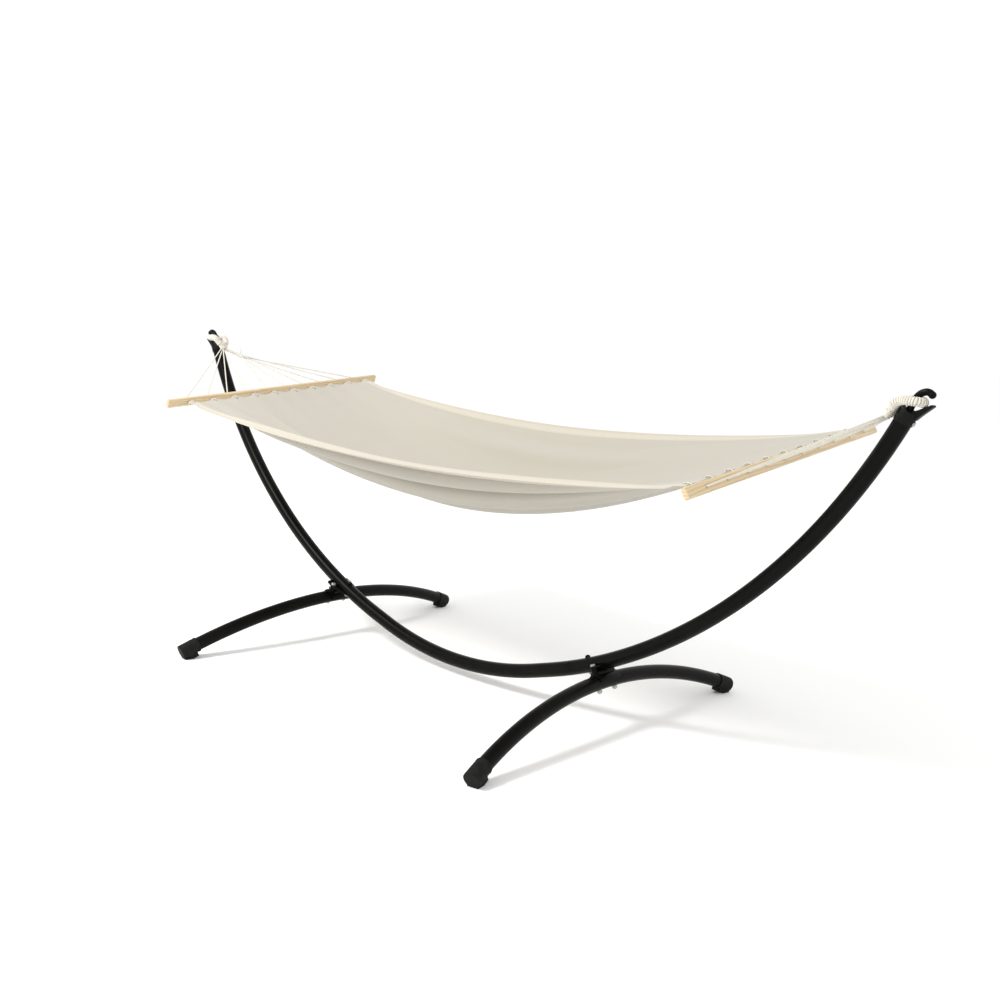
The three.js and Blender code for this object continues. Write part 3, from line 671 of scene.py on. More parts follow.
def arc_route(start, end, steps):
    x, rise, _ = arc_pose(np.linspace(start, end, steps + 1))
    return np.stack([x, np.zeros_like(x), ARC_LOWEST_AXIS + rise], 1)


def arc_frame(s):
    """Frame on the arc: local X along the tube, local Z square to it, inwards."""
    x, rise, slope = arc_pose(s)
    return shift(float(x), 0.0, ARC_LOWEST_AXIS + float(rise)) @ turn("Y", -float(slope))


def foot_route(start, end, steps):
    s = np.linspace(start, end, steps + 1)
    y = FOOT_BEND_RADIUS * np.sin(s / FOOT_BEND_RADIUS)
    points = np.stack([np.zeros_like(s), y, -FOOT_BELOW_ARC - foot_drop(s)], 1)
    return placed((points, []), arc_frame(SADDLE_AT))[0]


def pipe(route, radius, wall, sides=64):
    """A tube with open ends and rounded rims."""
    lip = wall * 0.3
    outer = swept(route, circle(radius, sides), caps=False)[0].reshape(-1, sides, 3)
    inner = swept(route, circle(radius - wall, sides), caps=False)[0].reshape(-1, sides, 3)
    ends = [unit(route[0] - route[1]) * lip, unit(route[-1] - route[-2]) * lip]
    middle = [(outer[i] + inner[i]) / 2 + ends[i] for i in (0, -1)]
    return rings_to_loop([middle[0], *outer, middle[1], *inner[::-1]])


# ---------------------------------------------------------------- stand
def make_tubes():
    seam = TUBE_SEAM_AT - TUBE_SEAM_GAP
    middle = pipe(arc_route(-seam, seam, 80), TUBE_RADIUS, TUBE_WALL)
    finished(to_object("arc_tube_middle_piece", middle), "black_paint", "stand", ["arc_tube_middle"])
    side = pipe(arc_route(TUBE_SEAM_AT + TUBE_SEAM_GAP, ARC_HALF_LENGTH, 110), TUBE_RADIUS, TUBE_WALL)
    at_both_ends(to_object("arc_tube_right_piece", side), "black_paint", "arc_tube_right", "arc_tube_left")
    foot = pipe(foot_route(-FOOT_HALF_LENGTH, FOOT_HALF_LENGTH, 110), FOOT_TUBE_RADIUS, TUBE_WALL)
    arch = to_object("foot_arch_right_piece", foot)
    at_both_ends(arch, "black_paint", "foot_arch_right", "foot_arch_left")


def make_sleeves():
    """The inner sleeves keep their CAD shape: only a hairline of them shows at each seam."""
    for end in ("left", "right"):
        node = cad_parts[f"joint_sleeve_{end}"]
        node.data.materials.clear()
        node.data.materials.append(MATERIALS["zinc_steel"])


def hex_head(flats, bottom, top, chamfer=0.0008):
    """A hexagon with its outer corners turned down."""
    corner = flats / math.sqrt(3)
    lower = [(corner - chamfer, bottom), (corner, bottom + chamfer)]
    upper = [(corner, top - chamfer), (corner - chamfer, top)]
    return lathe([*lower, *upper], 6)


def threaded_rod(radius, bottom, top, pitch=0.00125, depth=0.00035):
    """A rod whose last stretch carries ridges like a thread's."""
    profile = []
    z = bottom
    while z < top:
        profile.append((radius - depth, z))
        profile.append((radius, z + pitch / 2))
        z += pitch
    profile.append((radius, top))
    return lathe(profile, 24)


def washer(inner, outer, bottom, top):
    profile = [(inner, bottom), (outer, bottom), (outer, top), (inner, top)]
    return rings_to_loop(level_rings(profile, 40))


def make_joint_fasteners():
    here = arc_frame(JOINT_BOLT_AT)
    seat = -TUBE_RADIUS - CLEARANCE
    head = hex_head(BOLT_HEAD_FLATS, seat - BOLT_HEAD_HEIGHT, seat - 0.001)
    disc = washer(BOLT_RADIUS, WASHER_RADIUS, seat - WASHER_HEIGHT, seat)
    shank = cylinder(BOLT_RADIUS, seat - 0.001, TUBE_RADIUS + DOMED_NUT_SIDE, 32)
    bolt = to_object("joint_bolt_right_piece", placed(merged(head, disc, shank), here))
    at_both_ends(rounded(bolt, 0.0003, 2), "zinc_steel", "joint_bolt_right", "joint_bolt_left", 30)
    outside = BOLT_HEAD_FLATS / 2
    base = TUBE_RADIUS + CLEARANCE
    shoulder = base + DOMED_NUT_SIDE
    height = DOMED_NUT_TOP - DOMED_NUT_SIDE
    dome = [(outside * math.cos(a), shoulder + height * math.sin(a)) for a in np.linspace(0.05, 1.54, 10)]
    rim = outside + DOMED_NUT_RIM
    collar = [
        (rim - 0.0004, base), (rim, base + 0.0004),
        (rim, base + 0.0011), (outside, base + DOMED_NUT_RIM),
    ]
    nut = merged(
        lathe(collar, 40),
        hex_head(BOLT_HEAD_FLATS, base + 0.001, shoulder + 0.0004),
        lathe([(outside, base + 0.001), *dome], 40),
    )
    nut_piece = to_object("joint_nut_right_piece", placed(nut, here))
    at_both_ends(nut_piece, "black_plastic", "joint_nut_right", "joint_nut_left", 30)


def saddle_flange(half):
    """The level plate that takes the two bolts, with rounded corners."""
    plate = block((-half, -SADDLE_HALF_WIDTH, -FLANGE_BELOW_AXIS - SADDLE_PLATE),
                  (half, SADDLE_HALF_WIDTH, -FLANGE_BELOW_AXIS))
    flange = to_object("flange", plate)
    corner = flange.modifiers.new("corner", "BEVEL")
    corner.width = SADDLE_CORNER_RADIUS
    corner.segments = 6
    corner.limit_method = "WEIGHT"
    upright = flange.data.attributes.new("bevel_weight_edge", "FLOAT", "EDGE")
    for edge in flange.data.edges:
        a, b = (flange.data.vertices[i].co for i in edge.vertices)
        upright.data[edge.index].value = 1.0 if abs(a.z - b.z) > SADDLE_PLATE / 2 else 0.0
    return taken_shape(applied(flange))


def saddle_cradle():
    """The half shell over the foot arch."""
    across = shift(0.0, 0.0, -FOOT_BELOW_ARC) @ turn("X", math.pi / 2)
    shell = cylinder(FOOT_TUBE_RADIUS + SADDLE_PLATE, -SADDLE_HALF_WIDTH, SADDLE_HALF_WIDTH, 96)
    cradle = to_object("cradle", placed(shell, across))
    below = block((-BEYOND, -BEYOND, -2 * BEYOND), (BEYOND, BEYOND, -FOOT_BELOW_ARC))
    return taken_shape(combined(cradle, below, "DIFFERENCE"))


def make_saddles():
    here = arc_frame(SADDLE_AT)
    half = SADDLE_LENGTH / 2
    along = turn("Y", math.pi / 2)
    shell = placed(cylinder(TUBE_RADIUS + SADDLE_PLATE, -half, half, 96), along)
    body = to_object("saddle_right_piece", shell)
    above = block((-BEYOND, -BEYOND, -FLANGE_BELOW_AXIS), (BEYOND, BEYOND, BEYOND))
    combined(body, above, "DIFFERENCE")
    combined(body, saddle_flange(half), "UNION")
    combined(body, saddle_cradle(), "UNION")
    for y in (-SADDLE_BOLT_Y, SADDLE_BOLT_Y):
        post = cylinder(SADDLE_POST_RADIUS, -FOOT_BELOW_ARC, -FLANGE_BELOW_AXIS - 0.001, 48)
        combined(body, placed(post, shift(y=y)), "UNION")
    web_half = half * SADDLE_WEB_SHARE
    web = block((-web_half, -SADDLE_BOLT_Y, -FOOT_BELOW_ARC + FOOT_TUBE_RADIUS),
                (web_half, SADDLE_BOLT_Y, -TUBE_RADIUS))
    combined(body, web, "UNION")
    combined(body, placed(cylinder(TUBE_RADIUS + CLEARANCE / 2, -0.05, 0.05, 96), along), "DIFFERENCE")
    body.data.transform(Matrix(here.tolist()))
    foot_space = swept(foot_route(-0.08, 0.08, 12), circle(FOOT_TUBE_RADIUS + CLEARANCE / 2, 96))
    combined(body, foot_space, "DIFFERENCE")
    rounded(body, 0.0009, 3)
    at_both_ends(body, "black_paint", "saddle_right", "saddle_left", 32)


def taken_shape(obj):
    """The object's shape; the object itself is removed."""
    points = np.array([v.co for v in obj.data.vertices])
    faces = [tuple(p.vertices) for p in obj.data.polygons]
    bpy.data.objects.remove(obj)
    return points, faces


def make_saddle_fasteners():
    here = arc_frame(SADDLE_AT)
    seat = -FLANGE_BELOW_AXIS + CLEARANCE
    nut_seat = -FOOT_BELOW_ARC - FOOT_TUBE_RADIUS - foot_drop(SADDLE_BOLT_Y) - 2 * CLEARANCE
    for y, right_side, left_side in ((-SADDLE_BOLT_Y, "near", "far"), (SADDLE_BOLT_Y, "far", "near")):
        head = merged(
            washer(BOLT_RADIUS, WASHER_RADIUS, seat, seat + WASHER_HEIGHT),
            hex_head(BOLT_HEAD_FLATS, seat + WASHER_HEIGHT, seat + BOLT_HEAD_HEIGHT),
            threaded_rod(BOLT_RADIUS, nut_seat - NUT_HEIGHT - BOLT_PAST_NUT, nut_seat),
            cylinder(BOLT_RADIUS, nut_seat, seat + 0.001, 32),
        )
        bolt = to_object(f"saddle_bolt_right_{right_side}_piece", placed(head, here @ shift(y=y)))
        names = (f"saddle_bolt_right_{right_side}", f"saddle_bolt_left_{left_side}")
        at_both_ends(bolt, "zinc_steel", *names, 30)
        nut = merged(
            washer(BOLT_RADIUS + CLEARANCE, WASHER_RADIUS, nut_seat - WASHER_HEIGHT, nut_seat),
            hex_head(BOLT_HEAD_FLATS, nut_seat - NUT_HEIGHT, nut_seat - WASHER_HEIGHT),
        )
        nut_piece = to_object(f"saddle_nut_right_{right_side}_piece", placed(nut, here @ shift(y=y)))
        names = (f"saddle_nut_right_{right_side}", f"saddle_nut_left_{left_side}")
        at_both_ends(nut_piece, "zinc_steel", *names, 30)


def make_rubber_feet():
    """Caps on the arches' ends: a sleeve with a rim and a rounded nose, and a pad cut level by the floor."""
    outside = FOOT_TUBE_RADIUS + CLEARANCE + FOOT_CAP_WALL
    length = FOOT_CAP_GRIP + FOOT_CAP_END
    for side, right_side, left_side in ((-1, "near", "far"), (1, "far", "near")):
        start = FOOT_HALF_LENGTH - FOOT_CAP_GRIP
        route = foot_route(side * start, side * (FOOT_HALF_LENGTH + FOOT_CAP_END), 58)
        run = np.linspace(0, length, len(route))
        rim = 0.0007 * np.exp(-(((run - 0.003) / 0.0022) ** 2))
        nose = 0.0016
        fall = np.clip((run - (length - nose)) / nose, 0, 1)
        scale = (outside + rim - nose * (1 - np.sqrt(1 - fall**2 * 0.999)) * 0.9) / outside
        sleeve = swept(route, circle(outside, 64), scale=scale)
        tip = route[-1]
        outward = unit(route[-1] - route[-2])
        level = unit(np.cross(outward, (0.0, 0.0, 1.0)))
        down = np.cross(outward, level)
        depth = tip[2] / -down[2] + 0.01
        pad = block((-FOOT_PAD_LENGTH, -FOOT_PAD_WIDTH / 2, 0.002), (-0.0005, FOOT_PAD_WIDTH / 2, depth))
        pad = placed(pad, frame_of(outward, level, down, tip))
        foot = to_object(f"rubber_foot_right_{right_side}_piece", sleeve)
        combined(foot, pad, "UNION")
        reach = 2 * BEYOND
        floor_space = block((tip[0] - reach, tip[1] - reach, -reach), (tip[0] + reach, tip[1] + reach, 0.0))
        combined(foot, floor_space, "DIFFERENCE")
        bore_route = foot_route(side * (start - 0.02), side * FOOT_HALF_LENGTH, 40)
        combined(foot, swept(bore_route, circle(FOOT_TUBE_RADIUS, 64)), "DIFFERENCE")
        rounded(foot, 0.0012, 3)
        names = (f"rubber_foot_right_{right_side}", f"rubber_foot_left_{left_side}")
        at_both_ends(foot, "black_rubber", *names, 32)


# ---------------------------------------------------------------- hook end
# Points in the arc's plane at its top: out is away from the hammock, up is along the tube.
TOP_FRAME = arc_frame(ARC_HALF_LENGTH)


def hook_point(out, up, y=0.0):
    return TOP_FRAME[:3, :3] @ np.array((up, y, -out)) + TOP_FRAME[:3, 3]


HOOK_ROUTE = [
    (0, -0.046), (0, -0.010), (-0.002, 0.026), (-0.0005, 0.040),
    (0.0045, 0.050), (0.012, 0.0565), (0.019, 0.058), (0.0255, 0.0565),
]
WING_INSIDE = [(0.002, -0.012), (0.002, 0.004), (0.009, 0.006), (0.017, 0.014)]
WING_OUTSIDE = [(0.016, 0.0385), (0.020, 0.0395), (0.022, 0.0365), (0.009, 0.008), (0.0025, -0.009)]
WING_OUTLINE = [*WING_INSIDE, *((TUBE_RADIUS + past, up) for past, up in WING_OUTSIDE)]
LEG_ASIDE = HOOK_RADIUS + ROPE_RADIUS + ROPE_HOOK_GAP
LEG_CLEAR = TUBE_RADIUS + ROPE_RADIUS
LOOP_ROUTE = [
    (LEG_ASIDE - 0.002, 0.0325, 0.0), (LEG_ASIDE * 0.5, 0.031, LEG_ASIDE * 0.8),
    (-0.002, 0.0265, LEG_ASIDE), (0.013 - LEG_CLEAR, 0.0195, LEG_ASIDE),
    (0.0005 - LEG_CLEAR, 0.005, LEG_ASIDE * 0.95), (-0.0035 - LEG_CLEAR, -0.013, LEG_ASIDE * 0.6),
]
KNOT = hook_point(-0.005 - LEG_CLEAR, -0.033)


def make_hooks():
    route = smooth_route([hook_point(out, up) for out, up in HOOK_ROUTE], 10)
    finger = swept(route, circle(HOOK_RADIUS, 40))
    tip = HOOK_RADIUS * HOOK_TIP_SWELL
    ball = lathe([(tip * math.sin(a), -tip * math.cos(a)) for a in np.linspace(0.02, math.pi - 0.02, 18)])
    hook = to_object("hook_right_piece", merged(finger, placed(ball, shift(*hook_point(*HOOK_ROUTE[-1])))))
    at_both_ends(hook, "black_paint", "hook_right", "hook_left")


def make_hook_caps():
    outside = TUBE_RADIUS + CLEARANCE + CAP_WALL
    cap = to_object("hook_cap_right_piece", cylinder(outside, -CAP_SKIRT, CAP_TOP, 96))
    wing = placed(extruded(WING_OUTLINE, -WING_HALF_WIDTH, WING_HALF_WIDTH), turn("X", math.pi / 2))
    combined(cap, wing, "UNION")
    tube_space = cylinder(TUBE_RADIUS + CLEARANCE / 2, -CAP_SKIRT - 0.02, CLEARANCE, 96)
    hook_space = cylinder(HOOK_RADIUS + 0.0008, -0.005, CAP_TOP + 0.02, 48)
    for space in (tube_space, hook_space):
        combined(cap, space, "DIFFERENCE")
    rounded(cap, 0.0011, 3)
    up_the_tube = frame_of((0, 0, -1), (0, 1, 0), (1, 0, 0))
    cap.data.transform(Matrix((TOP_FRAME @ up_the_tube).tolist()))
    at_both_ends(cap, "black_plastic", "hook_cap_right", "hook_cap_left", 32)


def make_hook_bolts():
    seat = -TUBE_RADIUS - 2 * CLEARANCE - CAP_WALL
    head = HOOK_BOLT_RADIUS * 2
    recess = [(0.0018, seat - 0.0022), (0.0022, seat - 0.003)]
    crown = [(head * 0.55, seat - 0.003), (head * 0.9, seat - 0.0024), (head, seat - 0.0012), (head, seat)]
    bolt = merged(
        lathe([*recess, *crown], 40),
        cylinder(HOOK_BOLT_RADIUS, seat - 0.001, -0.002, 24),
    )
    piece = to_object("hook_bolt_right_piece", placed(bolt, TOP_FRAME @ shift(x=-HOOK_BOLT_DOWN)))
    at_both_ends(piece, "zinc_steel", "hook_bolt_right", "hook_bolt_left", 30)


def make_rope_loops():
    def leg(side):
        return [hook_point(out, up, side * y) for out, up, y in LOOP_ROUTE]

    route = even_route(smooth_route([*reversed(leg(-1)), *leg(1)[1:]], 14), 0.0012)
    core = swept(route, circle(ROPE_RADIUS - WRAP_BEDDING, 20))
    full = np.full(len(route), ROPE_RADIUS + ROPE_FULLNESS)
    loop = to_object("rope_loop_right_piece", merged(core, wound(route, full, full, WRAP_CORD_RADIUS)))
    at_both_ends(loop, "cotton_rope", "rope_loop_right", "rope_loop_left", 60)


def make_rope_bindings():
    """Turns of cord that draw the loop's two legs together, down to the knot."""
    leg_end = hook_point(*LOOP_ROUTE[-1][:2])
    before = hook_point(*LOOP_ROUTE[-2][:2])
    along = unit(leg_end - before)
    start = leg_end - along * 0.004
    route = even_route(smooth_route([start, (start + KNOT) / 2, KNOT], 12), 0.001)
    share = np.linspace(0, 1, len(route))
    taper = np.interp(share, [0, 0.15, 0.5, 1], [1.12, 1.14, 1.0, 0.86])
    wide = BINDING_HALF_WIDTH * taper
    high = BINDING_HALF_HEIGHT * taper
    sides, ups = frames_along(route)
    round_once = circle(1.0, 24)
    rings = []
    for i, centre in enumerate(route):
        x, y = (round_once * (wide[i] - WRAP_BEDDING, high[i] - WRAP_BEDDING)).T
        rings.append(centre + x[:, None] * sides[i] + y[:, None] * ups[i])
    wraps = wound(route, wide, high, WRAP_CORD_RADIUS, points_per_turn=28)
    binding = to_object("rope_binding_right_piece", merged(rings_to_shape(rings), wraps))
    at_both_ends(binding, "cotton_rope", "rope_binding_right", "rope_binding_left", 60)


# ---------------------------------------------------------------- hammock
def bar_frame(sizes, out):
    """A bar's frame: local X points away from the hammock, local Y along the bar."""
    centre = shift(out * (KNOT[0] - sizes["reach"]), 0.0, KNOT[2] - sizes["drop"])
    return centre @ turn("X", sizes["tilt"]) @ turn("Y", -out * math.atan2(sizes["drop"], sizes["reach"]))


# The way out from the hammock at each end, and the frame of the bar there.
BARS = {"left": (-1, bar_frame(LEFT_BAR, -1)), "right": (1, bar_frame(RIGHT_BAR, 1))}
LEFT_BAR_X, _, LEFT_BAR_Z = BARS["left"][1][:3, 3]
RIGHT_BAR_X, _, RIGHT_BAR_Z = BARS["right"][1][:3, 3]


def cord_y(i):
    return (i - (CORD_COUNT - 1) / 2) * CORD_PITCH


def rounded_rectangle(width, height, radius, corner_steps=6):
    points = []
    for quarter, (sx, sy) in enumerate(((1, 1), (-1, 1), (-1, -1), (1, -1))):
        centre = (sx * (width / 2 - radius), sy * (height / 2 - radius))
        for k in range(corner_steps + 1):
            angle = (quarter + k / corner_steps) * math.pi / 2
            points.append((centre[0] + radius * math.cos(angle), centre[1] + radius * math.sin(angle)))
    return np.array(points)


def make_spreader_bars():
    section = rounded_rectangle(BAR_THICKNESS, BAR_HEIGHT, BAR_END_RADIUS)
    half = BAR_LENGTH / 2
    near_end = [(-half + back, inset) for back, inset in BAR_EASED_END]
    far_end = [(-y, inset) for y, inset in reversed(near_end)]
    rings = []
    for y, inset in [*near_end, *far_end]:
        x = section[:, 0] * (1 - 2 * inset / BAR_THICKNESS)
        z = section[:, 1] * (1 - 2 * inset / BAR_HEIGHT)
        rings.append(np.stack([x, np.full(len(x), y), z], 1))
    for end, (_, here) in BARS.items():
        bar = to_object(f"spreader_bar_{end}_piece", rings_to_shape(rings))
        for i in range(CORD_COUNT):
            through = shift(y=cord_y(i)) @ turn("Y", math.pi / 2)
            drill = cylinder(CORD_HOLE_RADIUS, -DRILL_REACH, DRILL_REACH, 20)
            combined(bar, placed(drill, through), "DIFFERENCE")
        # The grain's own place runs on from one bar to the other, so that the two differ.
        local = np.array([v.co for v in bar.data.vertices])
        local[:, 1] += 0.0 if end == "left" else 2.0
        attribute = bar.data.attributes.new("local", "FLOAT_VECTOR", "POINT")
        attribute.data.foreach_set("vector", local.astype(np.float32).ravel())
        bar.data.transform(Matrix(here.tolist()))
        finished(bar, "pine", "hammock", [f"spreader_bar_{end}"], 30)


def cloth_surface(u, t):
    """Points of the hanging cloth: u from the left end to the right, t from the near edge to the far."""
    left_end = LEFT_BAR_X + CLOTH_GAP_LEFT
    right_end = RIGHT_BAR_X - CLOTH_GAP_RIGHT
    share = (u + 1) / 2
    tilt = LEFT_BAR["tilt"] + (RIGHT_BAR["tilt"] - LEFT_BAR["tilt"]) * share
    sag = 1 - np.abs(u) ** CLOTH_SAG_POWER
    half_width = CLOTH_HALF_WIDTH - CLOTH_NARROWING * sag
    height = LEFT_BAR_Z + (RIGHT_BAR_Z - LEFT_BAR_Z) * share
    x = left_end + (right_end - left_end) * share
    y = t * half_width * np.cos(tilt)
    z = height + t * half_width * np.sin(tilt) - sag * (CLOTH_EDGE_SAG + CLOTH_TROUGH * (1 - t * t))
    return np.stack([x + 0 * t, y, z - CLOTH_SOLID / 2], -1)


# Distance between the two ends of the cloth as it hangs.
CLOTH_LENGTH = RIGHT_BAR_X - CLOTH_GAP_RIGHT - LEFT_BAR_X - CLOTH_GAP_LEFT


def bell(x, centre, width):
    return np.exp(-(((x - centre) / width) ** 2))


# Lengthwise folds: height, place across the cloth, half width and how far each drifts.
PLEATS = [
    (-0.010, -0.988, 0.022, 0.1), (0.020, -0.940, 0.026, 0.2), (-0.014, -0.865, 0.044, 0.6),
    (0.026, -0.720, 0.044, 1.0), (-0.016, -0.575, 0.080, 1.0), (0.017, -0.400, 0.055, 1.0),
    (-0.007, -0.260, 0.080, 1.0), (0.006, 0.740, 0.070, -1.0), (-0.006, 0.860, 0.060, -1.0),
]


def pleat_sum(u, t):
    drift = 0.03 * np.sin(2.1 * u + 0.4)
    total = 0 * u * t
    for height, place, width, follow in PLEATS:
        total = total + height * bell(t, place + drift * follow, width)
    return total


def fold_height(u, t, from_end):
    """How far the cloth stands out from its smooth shape, along the surface's upward normal."""
    pleats = pleat_sum(u, t)
    soft = 0.0038 * np.sin(9.0 * t + 1.3 * u + 0.6) + 0.0026 * np.sin(16.0 * t - 1.9 * u + 2.0)
    soft = soft * (0.5 + 0.5 * np.cos(1.3 * u)) * (1 - bell(t, -0.85, 0.2))
    phase = t * CLOTH_HALF_WIDTH / CORD_PITCH
    pucker = 0.0026 * np.cos(2 * math.pi * (phase - 0.5)) * np.exp(-from_end / 0.11)
    return (1 - np.abs(u) ** 3) * (pleats + soft) * (1 - np.exp(-from_end / 0.10)) + pucker


def cloth_grid():
    """Grid lines: close together at both ends, where the eyelets are."""
    fine = np.arange(0, 0.036, 0.004)
    ease = 0.036 + (CLOTH_LENGTH - 0.072) * np.linspace(0, 1, 150)
    along = np.concatenate([fine, ease, CLOTH_LENGTH - fine[::-1]])
    u = 2 * along / CLOTH_LENGTH - 1
    t = np.linspace(-1, 1, CLOTH_WIDTH_STEPS + 1)
    return u, t, along


CLOTH_WIDTH_STEPS = 192
EYELET_HOLE = 0.0038
EYELET_INNER = 0.0031
EYELET_OUTER = 0.0054
EYELET_RISE = 0.0019


def eyelet_places():
    """Flat places of the eyelets' centres, as (end, number, u, t)."""
    for end, (out, _) in BARS.items():
        for i in range(CORD_COUNT):
            u = out * (1 - 2 * EYELET_INSET / CLOTH_LENGTH)
            yield end, i, u, cord_y(i) / CLOTH_HALF_WIDTH


def cloth_points(u, t):
    """The cloth with its folds, scalloped ends and puckers."""
    step = 1e-3
    base = cloth_surface(u, t)
    du = cloth_surface(u + step * (u < 0) - step * (u >= 0), t) - base
    du = du * np.where(u < 0, 1.0, -1.0)[..., None]
    dt = cloth_surface(u, t + step) - base
    normal = np.cross(du, dt)
    normal = normal / np.linalg.norm(normal, axis=-1)[..., None]
    from_end = (1 - np.abs(u)) * CLOTH_LENGTH / 2
    points = base + normal * fold_height(u, t, from_end)[..., None]
    between = 0.5 - 0.5 * np.cos(2 * math.pi * (t * CLOTH_HALF_WIDTH / CORD_PITCH - 0.5))
    scallop = 0.0058 * between * np.exp(-from_end / 0.05)
    points[..., 0] -= np.sign(u) * scallop
    return points


def settle(obj, pinned, cap):
    """Lets the cloth hang for a moment, so that its folds take their weight."""
    before = np.array([v.co for v in obj.data.vertices])
    group = obj.vertex_groups.new(name="held")
    for index, weight in enumerate(pinned):
        group.add([index], float(weight), "REPLACE")
    modifier = obj.modifiers.new("cloth", "CLOTH")
    settings = modifier.settings
    settings.quality = 6
    settings.mass = 0.25
    settings.tension_stiffness = 40
    settings.compression_stiffness = 40
    settings.shear_stiffness = 20
    settings.bending_stiffness = 1.0
    settings.vertex_group_mass = "held"
    settings.pin_stiffness = 1.0
    settings.effector_weights.gravity = 0.25
    modifier.collision_settings.use_self_collision = False
    scene = bpy.context.scene
    for step in range(1, SETTLE_STEPS + 1):
        scene.frame_set(step)
    applied(obj)
    scene.frame_set(1)
    after = np.array([v.co for v in obj.data.vertices])
    moved = after - before
    far = np.linalg.norm(moved, axis=1)
    limited = before + moved * np.minimum(1, cap / np.maximum(far, 1e-9))[:, None]
    obj.data.vertices.foreach_set("co", limited.ravel())
    obj.vertex_groups.clear()


SETTLE_STEPS = 12
SETTLE_LIMIT = 0.006
# Thickness of the single cloth, as a share of a hem's.
SINGLE_CLOTH_SHARE = 0.45


def make_cloth():
    u_lines, t_lines, along = cloth_grid()
    u, t = np.meshgrid(u_lines, t_lines, indexing="ij")
    points = cloth_points(u, t)
    rows, columns = u.shape
    index = np.arange(rows * columns).reshape(rows, columns)
    quads = np.stack([index[:-1, :-1], index[1:, :-1], index[1:, 1:], index[:-1, 1:]], -1).reshape(-1, 4)
    mesh = bpy.data.meshes.new("cloth_bed_piece")
    mesh.from_pydata(points.reshape(-1, 3).tolist(), [], quads.tolist())
    obj = linked("cloth_bed_piece", mesh)
    flat = np.stack([np.broadcast_to(along[:, None], u.shape), t * CLOTH_HALF_WIDTH], -1).reshape(-1, 2)
    from_side = CLOTH_HALF_WIDTH - np.abs(flat[:, 1])
    from_end = np.minimum(flat[:, 0], CLOTH_LENGTH - flat[:, 0])
    edge = np.minimum(from_side, from_end)
    held = np.where(from_end < END_HEM, 1.0, 0.0)
    settle(obj, held, SETTLE_LIMIT)
    stitch = bell(from_side, SIDE_HEM, 0.0022) + bell(from_end, END_HEM, 0.0022)
    stitch = np.maximum(stitch, bell(edge, 0.004, 0.0022))
    # Painted shade for the pleats' grooves: strongest where the cloth stands up most, seen from below as
    # grooves.
    deepest = max(height for height, _, _, _ in PLEATS)
    folded = (pleat_sum(u, t) * (1 - np.abs(u) ** 3)).ravel() / deepest
    crease_shade = np.clip(folded - 0.12, 0, 1)
    hemmed = (from_side < SIDE_HEM).astype(float)
    for name, values in (("stitch", stitch), ("crease_shade", crease_shade), ("hemmed", hemmed)):
        attribute = obj.data.attributes.new(name, "FLOAT", "POINT")
        attribute.data.foreach_set("value", values.astype(np.float32))
    layer = obj.data.uv_layers.new(name="flat")
    corners = np.empty(len(obj.data.loops), int)
    obj.data.loops.foreach_get("vertex_index", corners)
    layer.data.foreach_set("uv", flat[corners].astype(np.float32).ravel())
    work = bmesh.new()
    work.from_mesh(obj.data)
    work.faces.ensure_lookup_table()
    centres = flat[quads].mean(axis=1)
    doomed = []
    for _, _, hole_u, hole_t in eyelet_places():
        x = CLOTH_LENGTH * (hole_u + 1) / 2
        y = hole_t * CLOTH_HALF_WIDTH
        near = np.hypot(centres[:, 0] - x, centres[:, 1] - y) < EYELET_HOLE
        doomed += [work.faces[i] for i in np.nonzero(near)[0]]
    bmesh.ops.delete(work, geom=list(set(doomed)), context="FACES")
    work.to_mesh(obj.data)
    work.free()
    hem = obj.vertex_groups.new(name="hem")
    for vertex in range(len(obj.data.vertices)):
        doubled = from_side[vertex] < SIDE_HEM or from_end[vertex] < END_HEM
        hem.add([vertex], 1.0 if doubled else SINGLE_CLOTH_SHARE, "REPLACE")
    solid = obj.modifiers.new("thickness", "SOLIDIFY")
    solid.thickness = CLOTH_THICKNESS * 2
    solid.offset = 0.0
    solid.vertex_group = "hem"
    sheet_points = len(obj.data.vertices)
    applied(obj)
    clear_upper_crease_shade(obj.data, sheet_points)
    finished(obj, "canvas", "hammock", ["cloth_bed"], 60)
    return obj


def clear_upper_crease_shade(mesh, sheet_points):
    """Painted shade in the grooves of the folds goes on the cloth's underside only: the thickened sheet
    holds its two faces in turn.
    """
    heights = np.array([v.co.z for v in mesh.vertices])
    first_is_upper = heights[:sheet_points].mean() > heights[sheet_points:2 * sheet_points].mean()
    start = 0 if first_is_upper else sheet_points
    crease_shade = mesh.attributes["crease_shade"]
    values = np.empty(len(mesh.vertices), np.float32)
    crease_shade.data.foreach_get("value", values)
    values[start:start + sheet_points] = 0.0
    crease_shade.data.foreach_set("value", values)


def surface_frame(u, t):
    """A frame on the cloth at one point: local Z square to it."""
    step = 2e-3
    centre = cloth_points(np.array(u), np.array(t))
    inward = -np.sign(u) * step
    to_middle = 1 if t < 0 else -1
    along = unit(cloth_points(np.array(u + inward), np.array(t)) - centre) * -np.sign(u)
    across = unit(cloth_points(np.array(u), np.array(t + step * to_middle)) - centre) * to_middle
    normal = unit(np.cross(along, across))
    return frame_of(along, np.cross(normal, along), normal, centre)


def make_eyelets():
    """A pressed metal ring in each hole."""
    angles = np.linspace(0, 2 * math.pi, 13)[:-1]
    half = (EYELET_OUTER - EYELET_INNER) / 2
    reach = EYELET_INNER + half + half * np.cos(angles)
    rise = EYELET_RISE * np.sin(angles)
    steps = 28
    rings = []
    for k in range(steps):
        direction = 2 * math.pi * k / steps
        rings.append(np.stack([reach * math.cos(direction), reach * math.sin(direction), rise], 1))
    ring = rings_to_loop(rings)
    shapes = [placed(ring, surface_frame(u, t)) for _, _, u, t in eyelet_places()]
    obj = to_object("eyelets_piece", merged(*shapes))
    finished(obj, "zinc_steel", "hammock", [], 60)
    return obj


